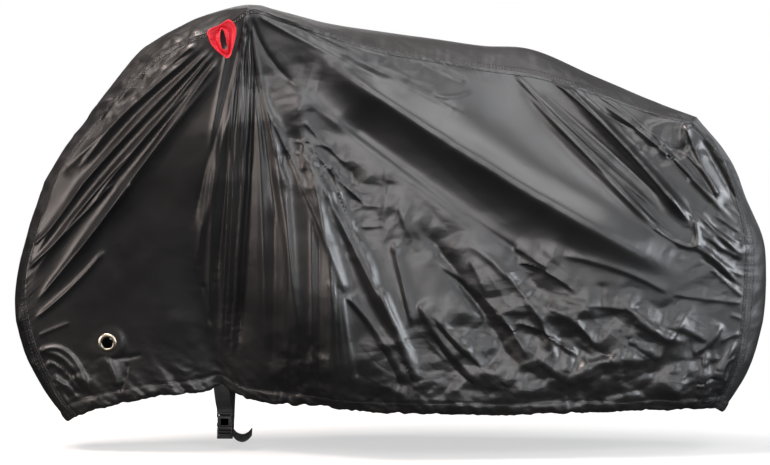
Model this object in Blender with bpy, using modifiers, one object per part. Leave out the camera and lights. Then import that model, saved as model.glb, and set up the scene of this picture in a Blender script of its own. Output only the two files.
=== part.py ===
"""Fitted cover for a bicycle, hanging from the handlebar, saddle and rear rack it was thrown over.

Two side panels are sewn to a centre strip in two lengths. The front strip climbs from the front
hem to the handlebar, and the top strip runs on over the saddle and the rack to the rear hem. Each
side panel has an eyelet for a lock. The near side has a red hanging loop in its front seam. A
webbing strap with a side-release buckle joins the two hems under the front wheel.

Metres, +Z up. +X runs to the rear and -Y is the near side. The origin is on the underside of the
strips' middle line, where the handlebar carries it.
"""

import math
from collections import namedtuple

import bmesh
import bpy
import numpy as np
from mathutils import Matrix, Vector, kdtree
from mathutils.bvhtree import BVHTree

COVER_NAME = "bicycle_cover"

# Cloth
THROUGH = 0.0022  # thickness, measured along the way the sheet is thickened
SEAM_GAP = 0.0004  # between pieces that are sewn to each other
SEAT_GAP = 0.0003  # between pieces that lie on each other
CROSSOVER = 0.07  # the panels' thickening turns into the strip's over this width

# The pieces that the cloth is sewn from
NEAR_PANEL, FRONT_STRIP, TOP_STRIP, FAR_PANEL = range(4)
CROWN_X = 0.009  # where the two strips meet
STRIP_ARCH = 2.4  # the higher, the squarer the strips' cross-section
SEAM_CALM = 0.02  # folds die out over this distance from a seam

# The fine sheet that the solids are thinned out from
CELLS_ALONG = 222
CELLS_UP = 129
CELLS_ACROSS_TOP = 16
SEAM_STEP = 3  # one seam point is kept out of this many
KEPT_FACES = 0.042  # share of its faces that stays
MERGE = 0.00001

# Hem
HEM_HEIGHT = 0.055
HEM_RIPPLE = 0.0035
HEM_PITCH = 0.052
HEM_DRIFT = 1.3  # how unevenly the ripples stand
HEM_DRIFT_RATE = 7.0

# Eyelets
EYELET_X = -0.347
EYELET_Z = -0.818
EYELET_OUT = 0.100  # half width of the cover there
EYELET_SLOPE_X = 0.20  # how the half width grows along X and Z there
EYELET_SLOPE_Z = 0.06
EYELET_FLAT = 0.038
EYELET_BLEND = 0.022
EYELET_BORE = 0.0140
EYELET_BARREL = 0.0152
EYELET_FLANGE = 0.0235
EYELET_LIP = 0.0017
EYELET_SIDES = 28

# Red hanging loop
LOOP_THICK = 0.004
LOOP_OUT = 0.275
LOOP_LEAN = math.radians(-6)

# Strap and buckle
WEB_WIDTH = 0.038
WEB_THICK = 0.002
STRAP_X = -0.066
SEWN_TOP = -0.906
SEWN_LOW = -0.924
BUCKLE_WIDTH = 0.038
BUCKLE_THICK = 0.010
BUCKLE_TOP = -0.998
BUCKLE_SPLIT = -1.032
BUCKLE_FOOT = -1.054
BUCKLE_Y = -0.030

Section = namedtuple("Section", "ridge_x ridge_z seam_x seam_z half_width")

# The strips, from the front hem over the top to the rear hem. The ridge is their middle line, and
# the seams lie at plus and minus the half width. The two lengths meet at the crown.
FRONT_SECTIONS = (
    Section(-0.452, -1.020, -0.434, -1.006, 0.050),
    Section(-0.485, -0.982, -0.463, -0.973, 0.055),
    Section(-0.530, -0.911, -0.504, -0.897, 0.060),
    Section(-0.566, -0.828, -0.537, -0.817, 0.065),
    Section(-0.582, -0.723, -0.551, -0.716, 0.070),
    Section(-0.571, -0.637, -0.543, -0.636, 0.074),
    Section(-0.539, -0.529, -0.513, -0.533, 0.082),
    Section(-0.507, -0.431, -0.481, -0.436, 0.092),
)
TOP_SECTIONS = (
    FRONT_SECTIONS[-1],
    Section(-0.458, -0.350, -0.431, -0.355, 0.108),
    Section(-0.405, -0.282, -0.371, -0.282, 0.128),
    Section(-0.321, -0.169, -0.279, -0.180, 0.160),
    Section(-0.260, -0.103, -0.210, -0.120, 0.195),
    Section(-0.157, -0.044, -0.136, -0.078, 0.235),
    Section(-0.074, -0.012, -0.054, -0.050, 0.262),
    Section(-0.003, 0.0022, 0.009, -0.009, 0.275),
    Section(0.078, -0.015, 0.079, -0.028, 0.262),
    Section(0.169, -0.039, 0.169, -0.057, 0.235),
    Section(0.323, -0.064, 0.323, -0.105, 0.185),
    Section(0.448, -0.081, 0.446, -0.127, 0.150),
    Section(0.568, -0.098, 0.564, -0.149, 0.130),
    Section(0.678, -0.105, 0.673, -0.164, 0.118),
    Section(0.840, -0.172, 0.823, -0.205, 0.112),
    Section(1.002, -0.240, 0.981, -0.259, 0.106),
    Section(1.090, -0.272, 1.071, -0.281, 0.100),
)
REAR_SECTIONS = (
    TOP_SECTIONS[-1],
    Section(1.159, -0.355, 1.134, -0.349, 0.092),
    Section(1.217, -0.480, 1.189, -0.473, 0.084),
    Section(1.257, -0.576, 1.213, -0.577, 0.080),
    Section(1.264, -0.674, 1.211, -0.672, 0.078),
    Section(1.254, -0.789, 1.202, -0.789, 0.074),
    Section(1.217, -0.904, 1.181, -0.897, 0.066),
    Section(1.159, -0.997, 1.138, -0.983, 0.055),
)

HemPoint = namedtuple("HemPoint", "x z half_width")

HEM = (
    HemPoint(-0.434, -1.006, 0.050),
    HemPoint(-0.376, -0.984, 0.070),
    HemPoint(-0.288, -0.962, 0.085),
    HemPoint(-0.205, -0.947, 0.090),
    HemPoint(-0.109, -0.939, 0.080),
    HemPoint(-0.063, -0.928, 0.068),
    HemPoint(-0.023, -0.950, 0.085),
    HemPoint(0.038, -0.962, 0.110),
    HemPoint(0.148, -0.964, 0.150),
    HemPoint(0.244, -0.972, 0.180),
    HemPoint(0.445, -0.979, 0.205),
    HemPoint(0.622, -0.983, 0.190),
    HemPoint(0.741, -0.981, 0.165),
    HemPoint(0.860, -0.982, 0.140),
    HemPoint(0.980, -0.981, 0.110),
    HemPoint(1.068, -0.982, 0.080),
    HemPoint(1.138, -0.983, 0.055),
)

Fullness = namedtuple("Fullness", "along low middle high")

# Half width of the hanging cloth a quarter, half and three quarters of the way up, at stations
# along the panel from its front seam (0) to its rear seam (1).
FULLNESS = (
    Fullness(0.08, 0.095, 0.112, 0.124),
    Fullness(0.18, 0.122, 0.152, 0.184),
    Fullness(0.28, 0.128, 0.186, 0.236),
    Fullness(0.36, 0.182, 0.214, 0.244),
    Fullness(0.46, 0.208, 0.226, 0.230),
    Fullness(0.58, 0.214, 0.216, 0.198),
    Fullness(0.70, 0.196, 0.194, 0.164),
    Fullness(0.82, 0.164, 0.164, 0.140),
    Fullness(0.92, 0.124, 0.128, 0.116),
)

Fold = namedtuple("Fold", "x0 z0 x1 z1 x2 z2 height wide0 wide1 under both")

# Folds run from point 0 past point 1 to point 2. Height is how far they stand out (in, if
# negative), wide0 and wide1 their half widths at the two ends, and under the half width of the
# lower side against that of the upper one. A fold in both panels is lower in the far one.
FOLDS = (
    # tension ridges from the loop down to the front seam
    Fold(-0.090, -0.085, -0.265, -0.230, -0.470, -0.420, 0.009, 0.008, 0.012, 1, True),
    Fold(-0.085, -0.105, -0.350, -0.370, -0.540, -0.635, 0.009, 0.008, 0.010, 1, True),
    Fold(-0.055, -0.125, -0.350, -0.425, -0.535, -0.670, 0.009, 0.008, 0.011, 1, True),
    Fold(-0.045, -0.130, -0.265, -0.400, -0.490, -0.700, 0.012, 0.009, 0.017, 1, True),
    # upright folds from the handlebar down to the strap
    Fold(-0.065, -0.250, -0.090, -0.565, -0.100, -0.855, 0.008, 0.009, 0.009, 1, False),
    Fold(-0.030, -0.165, -0.045, -0.430, -0.075, -0.905, 0.013, 0.007, 0.008, 1, True),
    Fold(-0.005, -0.130, -0.020, -0.430, -0.055, -0.895, 0.014, 0.007, 0.008, 1, True),
    Fold(0.020, -0.135, 0.035, -0.470, 0.035, -0.925, 0.009, 0.010, 0.016, 1, True),
    Fold(0.035, -0.155, 0.095, -0.550, 0.125, -0.930, 0.012, 0.014, 0.022, 1, False),
    Fold(0.105, -0.250, 0.190, -0.565, 0.220, -0.940, 0.012, 0.016, 0.022, 1, True),
    Fold(0.140, -0.325, 0.250, -0.565, 0.435, -0.930, 0.017, 0.016, 0.020, 1, True),
    # the long ridge to the rear, which hangs over, and the folds below it
    Fold(0.035, -0.040, 0.570, -0.400, 1.095, -0.685, 0.044, 0.060, 0.065, 0.4, True),
    Fold(0.035, -0.135, 0.410, -0.420, 0.860, -0.700, 0.017, 0.016, 0.022, 1, True),
    Fold(0.400, -0.510, 0.545, -0.710, 0.675, -0.920, -0.017, 0.020, 0.030, 1, True),
    Fold(0.495, -0.545, 0.675, -0.710, 0.750, -0.920, 0.010, 0.014, 0.016, 1, False),
    Fold(0.415, -0.705, 0.525, -0.830, 0.625, -0.925, 0.012, 0.014, 0.016, 1, False),
    # folds from the saddle towards the rear wheel
    Fold(0.710, -0.140, 0.950, -0.380, 1.075, -0.545, 0.024, 0.011, 0.019, 0.8, True),
    Fold(0.635, -0.180, 0.840, -0.385, 1.015, -0.570, 0.016, 0.010, 0.016, 0.8, True),
    Fold(0.805, -0.205, 1.005, -0.355, 1.195, -0.550, 0.011, 0.008, 0.012, 1, False),
    # the rack's corner and the cloth behind it
    Fold(1.055, -0.285, 1.055, -0.315, 1.050, -0.355, 0.008, 0.008, 0.010, 1, False),
    Fold(1.085, -0.305, 1.145, -0.410, 1.195, -0.495, -0.009, 0.009, 0.011, 1, True),
    Fold(1.070, -0.565, 1.130, -0.615, 1.195, -0.690, 0.009, 0.009, 0.010, 1, False),
    Fold(1.060, -0.480, 1.135, -0.550, 1.205, -0.615, 0.009, 0.009, 0.009, 1, False),
    # crushed cloth low down towards the rear
    Fold(0.690, -0.710, 0.785, -0.760, 0.855, -0.850, 0.011, 0.013, 0.014, 1, False),
    Fold(0.885, -0.690, 0.975, -0.780, 1.065, -0.815, 0.011, 0.013, 0.014, 1, False),
    Fold(0.750, -0.915, 0.855, -0.855, 0.975, -0.865, 0.011, 0.014, 0.013, 1, False),
    Fold(0.940, -0.935, 1.000, -0.830, 1.085, -0.710, 0.008, 0.014, 0.013, 1, False),
    # gathers at the front and rear ends of the hem
    Fold(-0.525, -0.845, -0.450, -0.865, -0.395, -0.955, 0.009, 0.008, 0.008, 1, True),
    Fold(-0.500, -0.910, -0.450, -0.925, -0.425, -0.970, 0.007, 0.007, 0.007, 1, False),
    Fold(1.110, -0.815, 1.100, -0.890, 1.095, -0.955, 0.009, 0.010, 0.008, 1, True),
    Fold(1.185, -0.815, 1.150, -0.875, 1.120, -0.960, 0.007, 0.008, 0.007, 1, False),
)
FAR_SHARE = 0.75
FOLD_SAMPLES = 40
FOLD_TAPER = 0.30
FOLD_CREST = 0.12  # how rounded a fold's crest is
FOLD_FALL = 1.5  # how fast it falls away beside the crest


def clear_scene():
    for obj in list(bpy.data.objects):
        bpy.data.objects.remove(obj, do_unlink=True)


def make_collection(name):
    collection = bpy.data.collections.new(name)
    bpy.context.scene.collection.children.link(collection)
    return collection


def make_material(name, colour, roughness, metallic=0.0):
    material = bpy.data.materials.new(name)
    material.use_nodes = True
    shader = material.node_tree.nodes["Principled BSDF"]
    shader.inputs["Base Color"].default_value = (*colour, 1.0)
    shader.inputs["Roughness"].default_value = roughness
    shader.inputs["Metallic"].default_value = metallic
    return material


def make_object(name, mesh, material, collection):
    obj = bpy.data.objects.new(name, mesh)
    mesh.materials.clear()
    mesh.materials.append(material)
    collection.objects.link(obj)
    return obj


def smooth_step(t):
    t = np.clip(t, 0.0, 1.0)
    return t * t * (3.0 - 2.0 * t)


def smooth_curve(keys, values, at):
    """A smooth curve through values at rising keys, read at the places in at."""
    keys, values, at = (np.asarray(a, float) for a in (keys, values, at))
    slopes = np.gradient(values, keys)
    spot = np.clip(np.searchsorted(keys, at, side="right") - 1, 0, len(keys) - 2)
    step = keys[spot + 1] - keys[spot]
    t = np.clip((at - keys[spot]) / step, 0.0, 1.0)
    return (
        (2 * t**3 - 3 * t**2 + 1) * values[spot]
        + (t**3 - 2 * t**2 + t) * step * slopes[spot]
        + (3 * t**2 - 2 * t**3) * values[spot + 1]
        + (t**3 - t**2) * step * slopes[spot + 1]
    )


def read_sections(rows, key, count):
    """The rows' five columns at count + 1 even steps of one column, which rises or falls."""
    table = np.array(rows)
    place = Section._fields.index(key)
    steps = np.linspace(table[0, place], table[-1, place], count + 1)
    rising = table if table[-1, place] > table[0, place] else table[::-1]
    return np.stack([smooth_curve(rising[:, place], column, steps) for column in rising.T], 1)


def hem_line():
    table = np.array(HEM)
    x = np.linspace(table[0, 0], table[-1, 0], CELLS_ALONG + 1)
    z = smooth_curve(table[:, 0], table[:, 1], x)
    out = smooth_curve(table[:, 0], table[:, 2], x)
    return np.stack([x, z, out], 1)


def fold_height(x, z, fold):
    """How far one fold lifts the cloth at each place."""
    t = np.linspace(0.0, 1.0, FOLD_SAMPLES)
    # the middle point lies on the curve, so the control point is pushed past it
    control_x = 2 * fold.x1 - (fold.x0 + fold.x2) / 2
    control_z = 2 * fold.z1 - (fold.z0 + fold.z2) / 2
    path_x = (1 - t) ** 2 * fold.x0 + 2 * t * (1 - t) * control_x + t**2 * fold.x2
    path_z = (1 - t) ** 2 * fold.z0 + 2 * t * (1 - t) * control_z + t**2 * fold.z2
    heading = np.stack([np.gradient(path_x), np.gradient(path_z)], 1)
    heading /= np.linalg.norm(heading, axis=1)[:, None]
    off_x = x[..., None] - path_x
    off_z = z[..., None] - path_z
    nearest = np.argmin(off_x**2 + off_z**2, axis=-1)
    pick = (*np.indices(x.shape), nearest)
    head = heading[nearest]
    along = off_x[pick] * head[..., 0] + off_z[pick] * head[..., 1]
    across = off_z[pick] * head[..., 0] - off_x[pick] * head[..., 1]
    # upper side positive for a fold that runs to the rear
    across = np.where(head[..., 0] < 0, -across, across)
    length = np.sum(np.hypot(np.diff(path_x), np.diff(path_z)))
    place = t[nearest] + along / length
    past_end = np.maximum(np.maximum(-place, place - 1.0), 0.0) * length
    place = np.clip(place, 0.0, 1.0)
    width = fold.wide0 + (fold.wide1 - fold.wide0) * place
    side = np.where(across < 0, width * fold.under, width)
    taper = smooth_step(place / FOLD_TAPER) * smooth_step((1 - place) / FOLD_TAPER)
    spread = np.sqrt((across / side) ** 2 + (past_end / width) ** 2 + FOLD_CREST)
    return fold.height * taper * np.exp(FOLD_FALL * (math.sqrt(FOLD_CREST) - spread))


def panel_grid(seam_front, seam_top, seam_rear, far):
    """Points of a side panel as (rows up, columns along, xyz), with the half width as y."""
    hem = hem_line()
    u = np.linspace(0.0, 1.0, CELLS_ALONG + 1)[None, :, None]
    v = np.linspace(0.0, 1.0, CELLS_UP + 1)[:, None, None]
    place = [2, 3, 4]
    front, top, rear = seam_front[:, place], seam_top[:, place], seam_rear[:, place]
    front_side, rear_side = front[:, None], rear[:, None]
    sides = (1 - u) * front_side + u * rear_side
    ends = (1 - v) * hem[None] + v * top[None]
    corners = (1 - v) * ((1 - u) * front[0] + u * rear[0])
    corners = corners + v * ((1 - u) * front[-1] + u * rear[-1])
    grid = sides + ends - corners
    x, z = grid[..., 0], grid[..., 1]

    quarter = CELLS_UP // 4
    along = np.array([0.0, *(row.along for row in FULLNESS), 1.0])
    levels = [hem[:, 2]]
    for spot, field in ((quarter, "low"), (2 * quarter, "middle"), (3 * quarter, "high")):
        inner = [getattr(row, field) for row in FULLNESS]
        level = [front[spot, 2], *inner, rear[spot, 2]]
        levels.append(smooth_curve(along, level, u[0, :, 0]))
    levels.append(top[:, 2])
    heights = np.array([0, quarter, 2 * quarter, 3 * quarter, CELLS_UP]) / CELLS_UP
    out = np.stack([smooth_curve(heights, column, v[:, 0, 0]) for column in np.stack(levels, 1)], 1)
    out[:, 0], out[:, -1] = front[:, 2], rear[:, 2]

    lift = np.zeros_like(out)
    for fold in FOLDS:
        if fold.both or not far:
            lift += fold_height(x, z, fold) * (FAR_SHARE if far else 1.0)
    up = z - hem[None, :, 1]
    run = hem[:, 0] - hem[0, 0]
    ripple = np.sin(
        2 * math.pi * run / HEM_PITCH + HEM_DRIFT * np.sin(HEM_DRIFT_RATE * run)
    )
    lift += HEM_RIPPLE * ripple[None] * (1 - smooth_step(up / HEM_HEIGHT))
    inset = np.minimum(u[..., 0], 1 - u[..., 0]) * (hem[-1, 0] - hem[0, 0])
    below_top = top[None, :, 1] - z
    lift *= smooth_step(inset / SEAM_CALM) * smooth_step(below_top / SEAM_CALM)
    out = out + lift

    reach = np.hypot(x - EYELET_X, z - EYELET_Z)
    flat = EYELET_OUT + EYELET_SLOPE_X * (x - EYELET_X) + EYELET_SLOPE_Z * (z - EYELET_Z)
    share = 1 - smooth_step((reach - EYELET_FLAT) / EYELET_BLEND)
    out = out * (1 - share) + flat * share
    return np.stack([x, out, z], -1)


def thin_seam(points):
    """Pulls the points between every few seam points onto the one before them."""
    kept = np.arange(len(points)) // SEAM_STEP * SEAM_STEP
    kept[-1] = len(points) - 1
    return points[kept]


def place_grid(bm, points, piece, flip=False):
    """Adds a grid of faces with its corners at points, which are (across, along, xyz)."""
    across, along = points.shape[0] - 1, points.shape[1] - 1
    made = bmesh.ops.create_grid(bm, x_segments=along, y_segments=across, size=0.5)
    faces = set()
    for vert in made["verts"]:
        column = round((vert.co.x + 0.5) * along)
        row = round((vert.co.y + 0.5) * across)
        vert.co = points[row, column]
        faces.update(vert.link_faces)
    for face in faces:
        face.material_index = piece
    if flip:
        bmesh.ops.reverse_faces(bm, faces=list(faces))


def unit(vectors):
    return vectors / np.linalg.norm(vectors, axis=-1, keepdims=True)


def inward_of_strips(seam):
    """The way into the cover from the strips' middle line, in the XZ plane."""
    heading = unit(np.gradient(seam[:, [0, 1]], axis=0))
    return np.stack([heading[:, 1], np.zeros(len(seam)), -heading[:, 0]], 1)


def fine_sheet():
    """The whole cover as one fine sheet, and the way in from each of its points."""
    front = read_sections(FRONT_SECTIONS, "seam_z", CELLS_UP)
    top = read_sections(TOP_SECTIONS, "seam_x", CELLS_ALONG)
    rear = read_sections(REAR_SECTIONS, "seam_z", CELLS_UP)[::-1]
    seam = np.concatenate([front, top[1:], rear[::-1][1:]])
    down = inward_of_strips(seam)

    bm = bmesh.new()
    guides = []
    last_up, last_along = CELLS_UP, CELLS_ALONG
    for far in (False, True):
        side = 1.0 if far else -1.0
        grid = panel_grid(front, top, rear, far)
        grid[..., 1] *= side
        across = np.array([0.0, -side, 0.0])
        ways = np.zeros_like(grid) + across
        edge = {"front": down[: last_up + 1], "top": down[last_up : last_up + last_along + 1]}
        edge["rear"] = down[last_up + last_along :][::-1]
        x, z = grid[..., 0], grid[..., 2]
        for name, distance in (
            ("front", x - x[:, :1]),
            ("top", z[-1:, :] - z),
            ("rear", x[:, -1:] - x),
        ):
            share = 0.5 * (1 - smooth_step(distance / CROSSOVER))[..., None]
            into = edge[name][None] if name == "top" else edge[name][:, None]
            ways = ways * (1 - share) + into * share
        ways[:, 0] = 0.5 * (across + edge["front"])
        ways[-1] = 0.5 * (across + edge["top"])
        ways[:, -1] = 0.5 * (across + edge["rear"])
        grid[:, 0] = thin_seam(grid[:, 0])
        grid[-1] = thin_seam(grid[-1])
        grid[:, -1] = thin_seam(grid[::-1, -1])[::-1]
        guides.append((grid.reshape(-1, 3), unit(ways).reshape(-1, 3)))
        place_grid(bm, grid, FAR_PANEL if far else NEAR_PANEL, flip=far)

    s = np.linspace(-1.0, 1.0, CELLS_ACROSS_TOP + 1)[None, :]
    arch = 1 - np.abs(s) ** STRIP_ARCH
    x = seam[:, 2, None] + (seam[:, 0] - seam[:, 2])[:, None] * arch
    z = seam[:, 3, None] + (seam[:, 1] - seam[:, 3])[:, None] * arch
    y = seam[:, 4, None] * s
    strip = np.stack([x, y, z], -1)
    share = 0.5 * np.abs(s)[..., None] ** 3
    across = np.stack([0 * s, -np.sign(s), 0 * s], -1)
    ways = down[:, None] * (1 - share) + across * share
    corners = (0, last_up, last_up + last_along, last_up + last_along + last_up)
    for start, end in zip(corners, corners[1:]):
        part = strip[start : end + 1, [0, -1]]
        if start == corners[2]:
            part = thin_seam(part[::-1])[::-1]
        else:
            part = thin_seam(part)
        strip[start : end + 1, [0, -1]] = part
    guides.append((strip.reshape(-1, 3), unit(ways).reshape(-1, 3)))
    crown = np.argmin(np.abs(seam[:, 2] - CROWN_X) + np.abs(seam[:, 3]))
    strip = strip.transpose(1, 0, 2)
    place_grid(bm, strip[:, : crown + 1], FRONT_STRIP)
    place_grid(bm, strip[:, crown:], TOP_STRIP)
    bmesh.ops.remove_doubles(bm, verts=bm.verts, dist=MERGE)
    return bm, guides


def on_seam(vert):
    return len({face.material_index for face in vert.link_faces}) > 1


def thinned_sheet():
    """The fine sheet with its flat stretches thinned out and its seam points kept."""
    bm, guides = fine_sheet()
    bm.verts.index_update()
    kept = [vert.index for vert in bm.verts if on_seam(vert)]
    mesh = bpy.data.meshes.new("fine_sheet")
    bm.to_mesh(mesh)
    bm.free()
    sheet = bpy.data.objects.new("fine_sheet", mesh)
    bpy.context.scene.collection.objects.link(sheet)
    free = sheet.vertex_groups.new(name="free")
    free.add(range(len(mesh.vertices)), 1.0, "REPLACE")
    free.add(kept, 0.0, "REPLACE")
    decimate = sheet.modifiers.new("Fewer faces", "DECIMATE")
    decimate.ratio = KEPT_FACES
    decimate.vertex_group = free.name
    graph = bpy.context.evaluated_depsgraph_get()
    thinned = bpy.data.meshes.new_from_object(sheet.evaluated_get(graph))
    bpy.data.objects.remove(sheet, do_unlink=True)
    way_in = {}
    points = np.concatenate([guide[0] for guide in guides])
    ways = np.concatenate([guide[1] for guide in guides])
    tree = kdtree.KDTree(len(points))
    for number, point in enumerate(points):
        tree.insert(point, number)
    tree.balance()
    for vert in thinned.vertices:
        way_in[tuple(vert.co)] = Vector(ways[tree.find(vert.co)[1]])
    return thinned, way_in


def draw_back_seams(bm, ways):
    """Moves the seam's points into their own piece by half the seam's gap."""
    pulls = {}
    for edge in bm.edges:
        if edge.seam and len(edge.link_faces) == 1:
            first, second = edge.verts
            heading = (second.co - first.co).normalized()
            face = edge.link_faces[0]
            inner = face.calc_center_median() - first.co
            inner = (inner - heading * inner.dot(heading)).normalized()
            for vert in edge.verts:
                pulls[vert] = pulls.get(vert, Vector()) + inner
    for vert, pull in pulls.items():
        way = ways[vert]
        level = (pull - way * pull.dot(way)).normalized()
        vert.co += level * SEAM_GAP / 2


def cloth_piece(name, piece, sheet, way_in, material, collection):
    """One piece of the sheet, parted from the others and given its thickness."""
    bm = bmesh.new()
    bm.from_mesh(sheet)
    for edge in bm.edges:
        materials = {face.material_index for face in edge.link_faces}
        edge.seam = len(materials) > 1
    others = [face for face in bm.faces if face.material_index != piece]
    bmesh.ops.delete(bm, geom=others, context="FACES")
    ways = {vert: way_in[tuple(vert.co)] for vert in bm.verts}
    draw_back_seams(bm, ways)
    inner_way = {tuple(vert.co): way for vert, way in ways.items()}
    made = bmesh.ops.extrude_face_region(bm, geom=bm.faces[:], use_keep_orig=True)
    for vert in made["geom"]:
        if isinstance(vert, bmesh.types.BMVert):
            vert.co += inner_way[tuple(vert.co)] * THROUGH
    bmesh.ops.recalc_face_normals(bm, faces=bm.faces)
    if bm.calc_volume(signed=True) < 0:
        bmesh.ops.reverse_faces(bm, faces=bm.faces)
    for face in bm.faces:
        face.material_index = 0
        face.smooth = False
    mesh = bpy.data.meshes.new(name)
    bm.to_mesh(mesh)
    bm.free()
    return make_object(name, mesh, material, collection)


def eyelet_frame(side):
    """Turns the eyelet's own frame, with Z out of the cover, into place on one side."""
    out = Vector((-EYELET_SLOPE_X, side, -EYELET_SLOPE_Z)).normalized()
    thick = THROUGH * abs(out.y)
    turn = out.to_track_quat("Z", "Y").to_matrix().to_4x4()
    centre = Vector((EYELET_X, side * EYELET_OUT, EYELET_Z)) - out * thick / 2
    return Matrix.Translation(centre) @ turn, thick


def cut_eyelet_hole(panel, side, cutters):
    place, thick = eyelet_frame(side)
    bpy.ops.mesh.primitive_cylinder_add(
        vertices=EYELET_SIDES, radius=EYELET_BARREL + SEAT_GAP, depth=10 * thick
    )
    cutter = bpy.context.object
    cutter.name = panel.name + "_hole"
    cutter.matrix_world = place
    cutter.hide_render = True
    cutter.display_type = "WIRE"
    for holder in cutter.users_collection:
        holder.objects.unlink(cutter)
    cutters.objects.link(cutter)
    cut = panel.modifiers.new("Eyelet hole", "BOOLEAN")
    cut.operation = "DIFFERENCE"
    cut.object = cutter


def make_eyelet(name, side, material, collection):
    """Two flanges on a barrel that grip the cloth between them."""
    place, thick = eyelet_frame(side)
    seat = thick / 2 + 1.5 * SEAT_GAP
    profile = (
        (EYELET_BORE, seat + 0.3 * EYELET_LIP),
        (EYELET_BORE + 0.0012, seat + 1.2 * EYELET_LIP),
        (EYELET_BARREL + 0.0030, seat + 1.4 * EYELET_LIP),
        (EYELET_FLANGE - 0.0014, seat + EYELET_LIP),
        (EYELET_FLANGE, seat),
        (EYELET_BARREL, seat),
        (EYELET_BARREL, -seat),
        (EYELET_FLANGE, -seat),
        (EYELET_FLANGE - 0.0010, -seat - 0.6 * EYELET_LIP),
        (EYELET_BORE, -seat - 0.6 * EYELET_LIP),
    )
    bm = bmesh.new()
    ring = [bm.verts.new((radius, 0.0, height)) for radius, height in profile]
    for number, vert in enumerate(ring):
        bm.edges.new((vert, ring[number - 1]))
    mesh = bpy.data.meshes.new(name)
    bm.to_mesh(mesh)
    bm.free()
    eyelet = make_object(name, mesh, material, collection)
    turn = eyelet.modifiers.new("Turned", "SCREW")
    turn.axis = "Z"
    turn.steps = turn.render_steps = EYELET_SIDES
    turn.use_merge_vertices = True
    turn.merge_threshold = MERGE
    turn.use_normal_calculate = True
    turn.use_normal_flip = True
    eyelet.matrix_world = place
    return eyelet


def outline_plate(name, outlines, thick, material, collection):
    """A flat plate with the first outline as its edge and the others as holes, facing +Z."""
    curve = bpy.data.curves.new(name, "CURVE")
    curve.dimensions = "2D"
    curve.fill_mode = "BOTH"
    curve.extrude = thick / 2
    curve.resolution_u = 4
    for outline in outlines:
        spline = curve.splines.new("BEZIER")
        spline.bezier_points.add(len(outline) - 1)
        spline.use_cyclic_u = True
        for point, (x, y) in zip(spline.bezier_points, outline):
            point.co = (x, y, 0.0)
            point.handle_left_type = point.handle_right_type = "AUTO"
    guide = bpy.data.objects.new(name + "_outline", curve)
    bpy.context.scene.collection.objects.link(guide)
    graph = bpy.context.evaluated_depsgraph_get()
    mesh = bpy.data.meshes.new_from_object(guide.evaluated_get(graph))
    bpy.data.objects.remove(guide, do_unlink=True)
    bm = bmesh.new()
    bm.from_mesh(mesh)
    bmesh.ops.remove_doubles(bm, verts=bm.verts, dist=MERGE)
    bm.to_mesh(mesh)
    bm.free()
    return make_object(name, mesh, material, collection)


def make_loop(material, collection):
    """The hanging loop: a webbing teardrop with a narrow gap, flat against the near panel."""
    outer = (
        (-0.098, -0.058),
        (-0.068, -0.043),
        (-0.045, -0.030),
        (-0.030, -0.043),
        (-0.026, -0.062),
        (-0.031, -0.090),
        (-0.044, -0.127),
        (-0.062, -0.120),
        (-0.086, -0.098),
        (-0.096, -0.077),
    )
    gap = (
        (-0.066, -0.058),
        (-0.060, -0.054),
        (-0.053, -0.074),
        (-0.048, -0.102),
        (-0.055, -0.106),
        (-0.063, -0.102),
        (-0.067, -0.080),
    )
    loop = outline_plate("hanging_loop", (outer, gap), LOOP_THICK, material, collection)
    upright = Matrix.Rotation(math.radians(90), 4, "X")
    top = Matrix.Translation((0.0, -LOOP_OUT, 0.0))
    loop.matrix_world = top @ Matrix.Rotation(LOOP_LEAN, 4, "X") @ upright
    return loop


def world_tree(obj):
    graph = bpy.context.evaluated_depsgraph_get()
    evaluated = obj.evaluated_get(graph)
    mesh = evaluated.to_mesh()
    points = [obj.matrix_world @ vert.co for vert in mesh.vertices]
    faces = [tuple(face.vertices) for face in mesh.polygons]
    evaluated.to_mesh_clear()
    return points, BVHTree.FromPolygons(points, faces)


def seat_on(piece, carrier, way):
    """Slides a piece along way until it lies a seat's gap from its carrier."""
    bpy.context.view_layer.update()
    way = Vector(way).normalized()
    points, tree = world_tree(piece)
    carrier_points, carrier_tree = world_tree(carrier)
    room = [carrier_tree.ray_cast(point, way)[3] for point in points]
    room += [tree.ray_cast(point, -way)[3] for point in carrier_points]
    nearest = min(distance for distance in room if distance is not None)
    piece.location += way * (nearest - SEAT_GAP)


def web_strip(name, path, material, collection):
    """Webbing along path, whose rows give x, y, z and the way across its width."""
    bm = bmesh.new()
    rows = []
    for x, y, z, across in path:
        middle, half = Vector((x, y, z)), Vector(across).normalized() * WEB_WIDTH / 2
        rows.append((bm.verts.new(middle - half), bm.verts.new(middle + half)))
    for (low0, high0), (low1, high1) in zip(rows, rows[1:]):
        bm.faces.new((low0, high0, high1, low1))
    mesh = bpy.data.meshes.new(name)
    bm.to_mesh(mesh)
    bm.free()
    strip = make_object(name, mesh, material, collection)
    wall = strip.modifiers.new("Webbing", "SOLIDIFY")
    wall.thickness = WEB_THICK
    wall.offset = 0.0
    wall.use_even_offset = True
    return strip


def make_block(name, low, high, rounding, material, collection):
    bpy.ops.mesh.primitive_cube_add(size=1.0)
    block = bpy.context.object
    block.name = block.data.name = name
    low, high = Vector(low), Vector(high)
    block.data.transform(Matrix.Diagonal((*(high - low), 1.0)))
    block.location = (low + high) / 2
    block.data.materials.append(material)
    for holder in block.users_collection:
        holder.objects.unlink(block)
    collection.objects.link(block)
    bevel = block.modifiers.new("Rounded", "BEVEL")
    bevel.width = rounding
    bevel.segments = 2
    return block


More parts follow.
